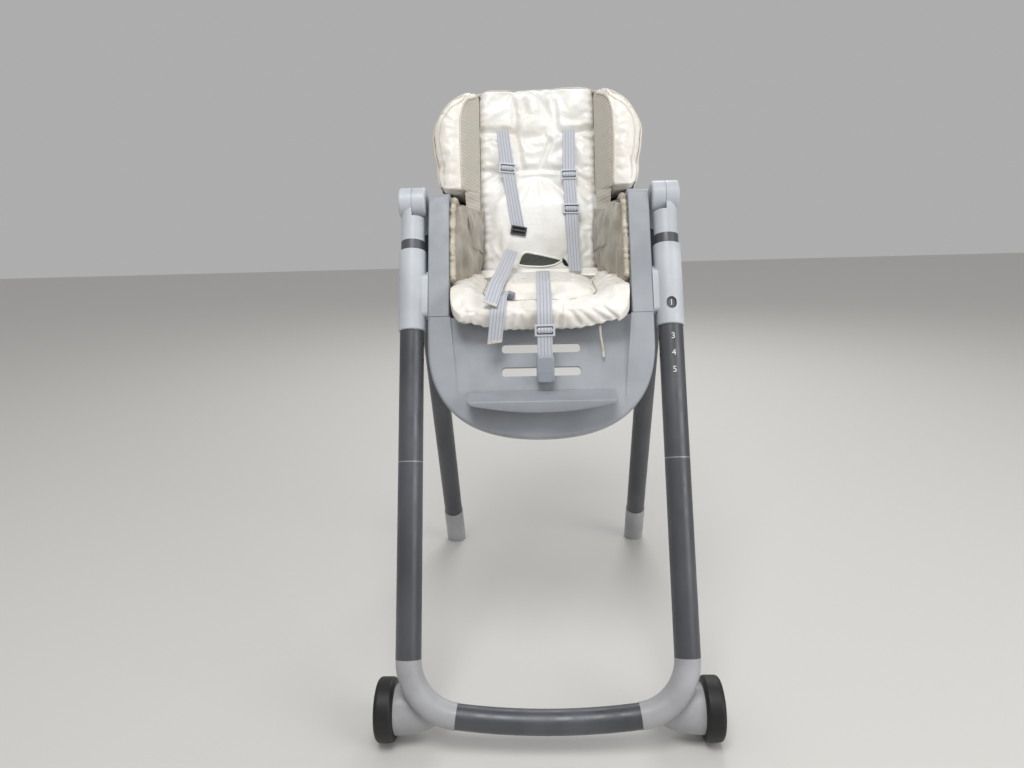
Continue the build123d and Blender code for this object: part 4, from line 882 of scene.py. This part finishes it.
def crease_shape(u, v):
    x = CREASE_HALF * (2 * u - 1)
    taper = np.clip((np.abs(x) - CREASE_FLAT) / (CREASE_HALF - CREASE_FLAT), 0, 1)
    reach = v * (1 - 0.6 * taper)
    share = np.linspace(0, 1, len(crease_line))
    y = np.interp(reach, share, crease_line[:, 0])
    z = np.interp(reach, share, crease_line[:, 1])
    z = z + 0.0016 * np.sin(130 * x + 2 * np.sin(41 * x)) * np.sin(pi * v)
    world = np.array([seat_place @ Vector(point) for point in zip(x, y, z)])
    return lift(world, crease_tree, CLOTH_LIFT)


def tail_of(sign):
    """Shape of the gusset tail on one side."""
    def shape(u, v):
        u, v = u[:, None], v[:, None]
        top = (1 - u) * np.array(TAIL_TOP[0]) + u * np.array(TAIL_TOP[1])
        foot = (1 - u) * np.array(TAIL_FOOT[0]) + u * np.array(TAIL_FOOT[1])
        flat = ((1 - v) * foot + v * top) * (sign, 1, 1)
        flat[:, 1:2] -= 0.002 * np.sin(pi * u) * np.sin(23 * v + sign)
        return lift(np.array([back_place @ Vector(point) for point in flat]), crease_tree, CLOTH_LIFT)

    return shape


crease_cloth = grid_piece("crease_cloth", 60, 12, crease_shape)
cloth_sheet(crease_cloth, seat_finish, smoothing=2)
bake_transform(crease_cloth)
for side, sign in SIDES:
    gusset_tail = grid_piece(f"{side}_gusset_tail", 10, 24, tail_of(sign))
    cloth_sheet(gusset_tail, gusset_finish, smoothing=2)
    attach(gusset_tail, "backrest")


# Crease insert: a ribbed charcoal strip that shows where the back cover parts above the seat.
# The lip of the cover rolls over its upper edge; a short slit standing open on the right and the strap slot
# mouths are dark patches of painted shade.
INSERT_X = [-0.042, -0.036, -0.027, 0.007, 0.030, 0.046]
INSERT_TOP = [0.026, 0.042, 0.049, 0.042, 0.036, 0.032]
INSERT_LOW = [0.024, 0.023, 0.021, 0.019, 0.022, 0.031]
SLIT_X = [0.046, 0.050, 0.054, 0.058]
SLIT_TOP = [0.036, 0.034, 0.030, 0.022]
SLIT_LOW = [0.028, 0.021, 0.019, 0.019]
MOUTHS = {"left": ([-0.0800, -0.069, -0.0565], 0.2985), "right": ([0.0520, 0.064, 0.0765], 0.2955)}
LIP_RADIUS = 0.0022
INLAY_THICK = 0.0008
back_tree = surface(back_cushion)


def inlay(name, xs, tops, lows, finish):
    """Thin patch on the front of the back cover, between two edge lines."""
    def shape(u, v):
        x = xs[0] + u * (xs[-1] - xs[0])
        low = np.interp(x, xs, lows)
        z = low + v * (np.interp(x, xs, tops) - low)
        return np.array([front_of(back_tree, back_place, *pair) - PIPING_SINK for pair in zip(x, z)])

    piece = grid_piece(name, 36, 8, shape)
    apply_modifier(piece, "SMOOTH", factor=0.5, iterations=4)
    apply_modifier(piece, "SOLIDIFY", thickness=INLAY_THICK, offset=0)
    piece.data.transform(back_place)
    only(piece)
    bpy.ops.object.shade_smooth_by_angle(angle=radians(50))
    piece.data.materials.append(finish)
    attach(piece, "backrest")


insert_finish = start_material("ribbed_charcoal_cloth", tone(80, 84, 79), 0.8)
insert_rib = compute(insert_finish, "SINE", distance_along(insert_finish, (400, 0, 2600)))
wire(insert_finish,
     colour=two_tone(insert_finish, insert_rib, tone(62, 66, 61), tone(98, 102, 96), -0.8, 0.8),
     relief=bump(insert_finish, insert_rib, 0.0006, 0.6))
inlay("crease_insert", INSERT_X, INSERT_TOP, INSERT_LOW, insert_finish)
# Painted shade: a near-black sheet laid in the open slit and in the mouths of the strap slots, where the
# openings fall into shadow.
slot_shade_finish = start_material("painted_slot_shade", tone(34, 34, 34), 0.9)
inlay("crease_slit_shade", SLIT_X, SLIT_TOP, SLIT_LOW, slot_shade_finish)
for side, (xs, middle) in MOUTHS.items():
    heights = np.array([middle, middle + 0.0016, middle])
    inlay(f"{side}_strap_slot_mouth", xs, heights + 0.0004, heights - 0.0026, slot_shade_finish)
for name, heights in (("upper", INSERT_TOP), ("lower", INSERT_LOW)):
    lip_route = smooth_route(list(zip(INSERT_X, heights)), 40)
    lip = [back_place @ front_of(back_tree, back_place, x, z) for x, z in lip_route]
    piping(f"crease_{name}_lip", lip, LIP_RADIUS, pearl_finish, "backrest")


# Harness webbing: flat woven straps of 25 mm with pale stripes, laid over the cushions.
# Each strap follows its route and is lifted off whatever it lies on.
def size_uv(piece, length):
    """Give the webbing's pattern its real width and length on a grid."""
    uv = np.empty(len(piece.data.loops) * 2)
    layer = piece.data.uv_layers.active
    layer.uv.foreach_get("vector", uv)
    layer.uv.foreach_set("vector", (uv.reshape(-1, 2) * (STRAP_WIDTH, length)).ravel())


def strap(name, route, place, across, tree, node, body, hem=0.0):
    """Webbing along a route in a local frame, its width in a local direction, with a sewn hem at its end."""
    rows = 60
    line = smooth_route(route, rows + 1)
    side = np.array(across, dtype=float)
    length = np.linalg.norm(np.diff(line, axis=0), axis=1).sum()

    def shape(u, v):
        middle = line[np.rint(v * rows).astype(int)]
        local = middle + STRAP_WIDTH * (u - 0.5)[:, None] * side
        world = np.array([place @ Vector(point) for point in local])
        raised = lift(world, tree, STRAP_LIFT) - world
        order = np.lexsort((u, v))
        table = raised[order].reshape(rows + 1, -1, 3)
        table[:] = table.mean(axis=1, keepdims=True)
        raised[order] = even_out(table, 4).reshape(-1, 3)
        return lift(world + raised, tree, STRAP_LIFT)

    piece = grid_piece(name, 6, rows, shape)
    size_uv(piece, length)
    apply_modifier(piece, "SOLIDIFY", thickness=STRAP_THICK, offset=0)
    only(piece)
    bpy.ops.object.shade_smooth_by_angle(angle=radians(40))
    piece.data.materials.append(webbing_finish)
    piece.data.materials.append(hem_finish)
    uv = np.empty(len(piece.data.loops) * 2)
    piece.data.uv_layers.active.uv.foreach_get("vector", uv)
    along = uv[1::2]
    for face in piece.data.polygons:
        face.material_index = int(along[face.loop_indices].mean() > length - hem)
    stands_for(piece, body, node)
    return piece


STRAP_WIDTH = 0.025
STRAP_THICK = 0.0014
STRAP_LIFT = 0.0016
STRIPES = 9
webbing_finish = start_material("striped_webbing", tone(168, 174, 190), 0.6, sheen_weight=0.3)
webbing_uv = add_node(webbing_finish, "ShaderNodeTexCoord", {}).outputs["UV"]
webbing_split = add_node(webbing_finish, "ShaderNodeSeparateXYZ", {"Vector": webbing_uv})
webbing_count = compute(webbing_finish, "MULTIPLY", webbing_split.outputs["X"], STRIPES / STRAP_WIDTH)
webbing_stripe = compute(webbing_finish, "PINGPONG", webbing_count, 1.0)
weave_inputs = {"Vector": webbing_uv, "Scale": 260, "Distortion": 0.4}
webbing_weave = add_node(webbing_finish, "ShaderNodeTexWave", weave_inputs, bands_direction="DIAGONAL")
webbing_relief = bump(webbing_finish, webbing_weave.outputs["Fac"], 0.0004, 0.6)
wire(webbing_finish,
     colour=two_tone(webbing_finish, webbing_stripe, tone(156, 159, 170), tone(200, 203, 211), 0.05, 0.35),
     relief=bump(webbing_finish, webbing_stripe, 0.0005, 0.4, webbing_relief))
hem_finish = start_material("sewn_hem", tone(214, 208, 198), 0.6)
hem_weave = noise(hem_finish, 900, 2, (1, 1, 0.4))
wire(hem_finish,
     colour=two_tone(hem_finish, hem_weave, tone(190, 183, 170), tone(228, 223, 214)),
     relief=bump(hem_finish, hem_weave, 0.0006, 0.6))

BACK_SKIN = -0.030
LEFT_ROUTE = [(-0.068, 0.292), (-0.0595, 0.216), (-0.0385, 0.083)]
RIGHT_ROUTE = [(0.064, 0.2895), (0.0625, 0.200), (0.066, 0.131), (0.071, 0.006)]
TAIL_ROUTE = [(-0.064, -0.118, -0.146), (-0.067, -0.140, -0.150), (-0.070, -0.164, -0.172),
              (-0.0768, -0.167, -0.2235)]
HIP_ROUTE = [(-0.053, 0.112, -0.1005), (-0.0605, 0.040, -0.114), (-0.0675, -0.050, -0.126),
             (-0.0725, -0.114, -0.131), (-0.076, -0.139, -0.1405), (-0.083, -0.161, -0.159)]
CROTCH_ROUTE = [(0.007, 0.095, -0.148), (0.007, -0.110, -0.144), (0.007, -0.166, -0.168),
                (0.007, -0.168, -0.205), (0.007, -0.1725, -0.247)]
covers = surface(back_cushion, seat_cushion, *wings)
left_strap = strap("left_shoulder_webbing", [(x, BACK_SKIN, z) for x, z in LEFT_ROUTE], back_place,
                   (0.99, 0, 0.12), covers, "left_shoulder_strap", "backrest")
right_strap = strap("right_shoulder_webbing", [(x, BACK_SKIN, z) for x, z in RIGHT_ROUTE], back_place,
                    (1, 0, -0.03), covers, "right_shoulder_strap", "backrest")
strap("hip_strap_tail_webbing", TAIL_ROUTE, seat_place, (0.99, 0, 0.12), covers,
      "left_hip_strap_tail", "seat", hem=0.006)
strap("hip_strap_webbing", HIP_ROUTE, seat_place, (0.932, -0.098, -0.349), covers,
      "left_hip_strap", "seat", hem=0.004)
crotch_strap = strap("crotch_webbing", CROTCH_ROUTE, seat_place, (1, 0, 0), covers, "crotch_strap", "seat")


# Strap hardware: plain webbing sliders, a dark ladder lock and the grey buckle with its press plate.
# Each slider is a moulded frame with a middle bar, and painted shade fills its slits.
def slider(name, centre, place, tilt, size, finish):
    """Frame with a middle bar, flat in X and Z of a local frame and facing -Y, with a dark sheet of painted
    shade in its windows.
    """
    width, height, thick = size
    columns = np.array([-0.5, -0.39, 0.39, 0.5]) * width
    rows = np.array([-0.5, -0.34, -0.09, 0.09, 0.34, 0.5]) * height

    def shape(u, v):
        column = columns[np.rint(u * 3).astype(int)]
        return np.stack([column, 0 * u, rows[np.rint(v * 5).astype(int)]], axis=1)

    piece = grid_piece(name, 3, 5, shape)
    only(piece)
    bpy.ops.object.mode_set(mode="EDIT")
    bpy.ops.mesh.select_mode(type="FACE")
    bpy.ops.mesh.select_all(action="DESELECT")
    bpy.ops.object.mode_set(mode="OBJECT")
    for number in (4, 10):
        piece.data.polygons[number].select = True
    bpy.ops.object.mode_set(mode="EDIT")
    bpy.ops.mesh.delete(type="FACE")
    bpy.ops.object.mode_set(mode="OBJECT")
    apply_modifier(piece, "SOLIDIFY", thickness=thick, offset=0)
    apply_modifier(piece, "BEVEL", width=thick / 3, segments=3, limit_method="ANGLE")
    piece.data.materials.append(finish)

    # Painted shade: a near-black sheet just behind the frame, seen through the windows as shadowed slits.
    def slit_shade_shape(u, v):
        return np.stack([0.78 * width * (u - 0.5), 0 * u + 0.15 * thick, 0.68 * height * (v - 0.5)], axis=1)

    slit_shade_sheet = grid_piece(name + "_floor", 2, 2, slit_shade_shape)
    apply_modifier(slit_shade_sheet, "SOLIDIFY", thickness=0.1 * thick, offset=0)
    slit_shade_sheet.data.materials.append(slot_shade_finish)
    only(piece)
    slit_shade_sheet.select_set(True)
    bpy.ops.object.join()
    seat_in(piece, centre, place, tilt)
    return piece


def seat_in(piece, centre, place, tilt):
    """Turn a small fitting in its own plane and set it on the chair."""
    piece.data.transform(place @ Matrix.Translation(centre) @ Matrix.Rotation(tilt, 4, "Y"))
    only(piece)
    bpy.ops.object.shade_smooth_by_angle(angle=radians(40))


def webbing_turn(name, centre, place, tilt, size, body):
    """Webbing where it comes up through a slider and goes over the middle bar."""
    _, height, thick = size
    half = 0.22 * height

    def shape(u, v):
        turn = pi * v
        across = 0.96 * STRAP_WIDTH * (u - 0.5)
        return np.stack([across, thick * (0.2 - np.sin(turn)), half * np.cos(turn)], axis=1)

    piece = grid_piece(name, 6, 10, shape)
    size_uv(piece, 2 * half)
    apply_modifier(piece, "SOLIDIFY", thickness=STRAP_THICK, offset=0)
    seat_in(piece, centre, place, tilt)
    piece.data.materials.append(webbing_finish)
    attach(piece, body)


SLIDER_SIZE = (0.034, 0.020, 0.003)
SLIDER_LIFT = Vector((0, 0.0012, 0))
LOCK_SIZE = (0.031, 0.018, 0.0035)
LOCK_PLACE = (-0.0395, 0.0895)
LOCK_TILT = 0.2
CROTCH_SLIDER = (0.007, -0.203)
slider_finish = scuffed("slider_plastic", tone(204, 208, 216), 0.35, patches=(200, 5), gloss=(0.28, 0.45))
lock_finish = scuffed("ladder_lock_plastic", tone(62, 64, 70), 0.38, patches=(200, 5), gloss=(0.3, 0.48))
straps = surface(left_strap, right_strap)
slider_places = {"left": (*LEFT_ROUTE[1], 0.12),
                 "upper_right": (*RIGHT_ROUTE[1], 0.0),
                 "lower_right": (*RIGHT_ROUTE[2], 0.03)}
for name, (x, z, tilt) in slider_places.items():
    centre = front_of(straps, back_place, x, z) - SLIDER_LIFT
    shoulder_slider = slider(f"{name}_slider_frame", centre, back_place, tilt, SLIDER_SIZE, slider_finish)
    stands_for(shoulder_slider, "backrest", "shoulder_strap_sliders")
    webbing_turn(f"{name}_slider_webbing", centre, back_place, tilt, SLIDER_SIZE, "backrest")
lock_spot = front_of(straps, back_place, *LOCK_PLACE) - SLIDER_LIFT
ladder_lock = slider("ladder_lock_frame", lock_spot, back_place, LOCK_TILT, LOCK_SIZE, lock_finish)
stands_for(ladder_lock, "backrest", "strap_ladder_lock")
crotch_spot = front_of(surface(crotch_strap), seat_place, *CROTCH_SLIDER) - SLIDER_LIFT
crotch_slider = slider("crotch_slider_frame", crotch_spot, seat_place, 0, SLIDER_SIZE, slider_finish)
stands_for(crotch_slider, "seat", "crotch_strap_slider")
webbing_turn("crotch_slider_webbing", crotch_spot, seat_place, 0, SLIDER_SIZE, "seat")

KEEPER_SIZE = (0.014, 0.008, 0.021)
KEEPER_PLACE = (-0.0505, -0.1545)
KEEPER_LEAN = 0.5
KEEPER_TILT = 0.35
KEEPER_ROUND = 0.0025
KEEPER_LIFT = Vector((0, 0.002, 0))
keeper_finish = scuffed("keeper_plastic", tone(142, 147, 157), 0.42, patches=(200, 5), gloss=(0.34, 0.5))
bpy.ops.object.select_all(action="DESELECT")
bpy.ops.mesh.primitive_cube_add(size=1)
keeper = bpy.context.object
keeper.name = "hip_strap_keeper"
keeper.data.transform(Matrix.Diagonal((*KEEPER_SIZE, 1)))
apply_modifier(keeper, "BEVEL", width=KEEPER_ROUND, segments=3)
keeper_spot = front_of(seat_tree, seat_place, *KEEPER_PLACE) - KEEPER_LIFT
keeper.data.transform(Matrix.Rotation(KEEPER_LEAN, 4, "X"))
seat_in(keeper, keeper_spot, seat_place, KEEPER_TILT)
keeper.data.materials.append(keeper_finish)
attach(keeper, "seat")

buckle_finish = scuffed("buckle_plastic", tone(160, 165, 174), 0.4, patches=(160, 5), gloss=(0.32, 0.5))
dress(["buckle", "buckle_button"], buckle_finish)

# Footrest: a moulded ledge whose front lip is deepest in the middle and thins out to rounded ends.
# A tongue behind it plugs into the lowest slot of the calf panel, and pulls straight out.
LIP_DEPTH = 0.021
LIP_END = 0.006
LEDGE_CORNER = 0.009
EDGE_ROUND = 0.0026
PANEL_FACE = -0.0143
TONGUE_SLOT = (-0.007, -0.356)
TONGUE_SIZE = (0.124, 0.007)
TONGUE_IN = 0.028
TONGUE_OUT = 0.008
TONGUE_ROUND = 0.001
ledge_low, ledge_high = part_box("footrest")
ledge_half, ledge_top, ledge_front = ledge_high[0], ledge_high[2], ledge_low[1]
EDGE_STEPS = 4
ROUND_TURNS = np.linspace(0, pi / 2, EDGE_STEPS)


def panel_depth(z):
    """How far back the slanted front of the calf panel is at a height."""
    return fold_pivot.y + (z - fold_pivot.z) * np.tan(leg_lean) + PANEL_FACE / cos(leg_lean)


def ledge_section(x):
    """Closed outline of the ledge across its length, at one place along it."""
    lip = LIP_END + (LIP_DEPTH - LIP_END) * (1 - (x / ledge_half) ** 2)
    past = max(abs(x) - ledge_half + LEDGE_CORNER, 0)
    front = ledge_front + LEDGE_CORNER - np.sqrt(max(LEDGE_CORNER**2 - past**2, 0))
    under = ledge_top - lip
    back_low = ledge_top - 1.5 * lip
    ends = [(panel_depth(ledge_top), ledge_top)]
    middle = front + EDGE_ROUND
    for turn in ROUND_TURNS:
        ends.append((middle - EDGE_ROUND * sin(turn), ledge_top - EDGE_ROUND * (1 - cos(turn))))
    for turn in ROUND_TURNS:
        ends.append((middle - EDGE_ROUND * cos(turn), under + EDGE_ROUND * (1 - sin(turn))))
    return ends + [(panel_depth(back_low), back_low)] + ends[:1]


def ledge_shape(u, v):
    places = ledge_half * np.sin(pi * (u - 0.5))
    sides = np.rint(v * (2 * EDGE_STEPS + 2)).astype(int)
    return np.array([(x, *ledge_section(x)[side]) for x, side in zip(places, sides)])


ledge = grid_piece("footrest_ledge", 64, 2 * EDGE_STEPS + 2, ledge_shape)
only(ledge)
bpy.ops.object.mode_set(mode="EDIT")
bpy.ops.mesh.select_all(action="SELECT")
bpy.ops.mesh.remove_doubles(threshold=WELD_GAP)
bpy.ops.mesh.fill_holes(sides=0)
bpy.ops.mesh.select_all(action="SELECT")
bpy.ops.mesh.normals_make_consistent(inside=False)
bpy.ops.object.mode_set(mode="OBJECT")
slot_middle = leg_place @ Vector((0, *TONGUE_SLOT))
tongue_front = panel_depth(slot_middle.z) - TONGUE_OUT
tongue_rear = slot_middle.y + TONGUE_IN
bpy.ops.object.select_all(action="DESELECT")
bpy.ops.mesh.primitive_cube_add(size=1)
tongue = bpy.context.object
tongue.name = "footrest_tongue"
tongue_middle = Vector((0, (tongue_front + tongue_rear) / 2, slot_middle.z))
tongue_scale = (TONGUE_SIZE[0], tongue_rear - tongue_front, TONGUE_SIZE[1], 1)
tongue.data.transform(Matrix.Translation(tongue_middle) @ Matrix.Diagonal(tongue_scale))
apply_modifier(tongue, "BEVEL", width=TONGUE_ROUND, segments=2)
only(ledge)
tongue.select_set(True)
bpy.ops.object.join()
bpy.ops.object.shade_smooth_by_angle(angle=radians(35))
ledge.data.materials.append(grey_finish)
stands_for(ledge, "footrest", "footrest")

# Height numbers: 1 to 5 in white paint down the front of the right leg.
# The collar's window shows the one that the seat stands at.
NUMBER_HEIGHT = 0.0105
CAPITAL_SHARE = 0.7
NUMBER_PITCH = 0.029
FIRST_NUMBER = -0.202
PAINT_RADIUS = 0.0211
RIGHT_LEG_X = 0.224
number_finish = start_material("number_paint", tone(226, 226, 224), 0.5)
for step in range(5):
    name = f"height_number_{step + 1}"
    text = bpy.data.curves.new(name, "FONT")
    text.body = str(step + 1)
    text.size = NUMBER_HEIGHT / CAPITAL_SHARE
    text.align_x = "CENTER"
    text.align_y = "CENTER"
    only(new_object(name, text))
    bpy.ops.object.convert(target="MESH")
    number = bpy.context.object
    apply_modifier(number, "SUBSURF", subdivision_type="SIMPLE", levels=2, render_levels=2)
    flat = points_of(number)
    turn = flat[:, 0] / PAINT_RADIUS
    round_leg = np.stack([RIGHT_LEG_X + PAINT_RADIUS * np.sin(turn), -PAINT_RADIUS * np.cos(turn),
                          FIRST_NUMBER - step * NUMBER_PITCH + flat[:, 1]], axis=1)
    set_points(number, round_leg)
    number.data.transform(leg_place)
    number.data.materials.append(number_finish)
    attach(number, "front_frame")
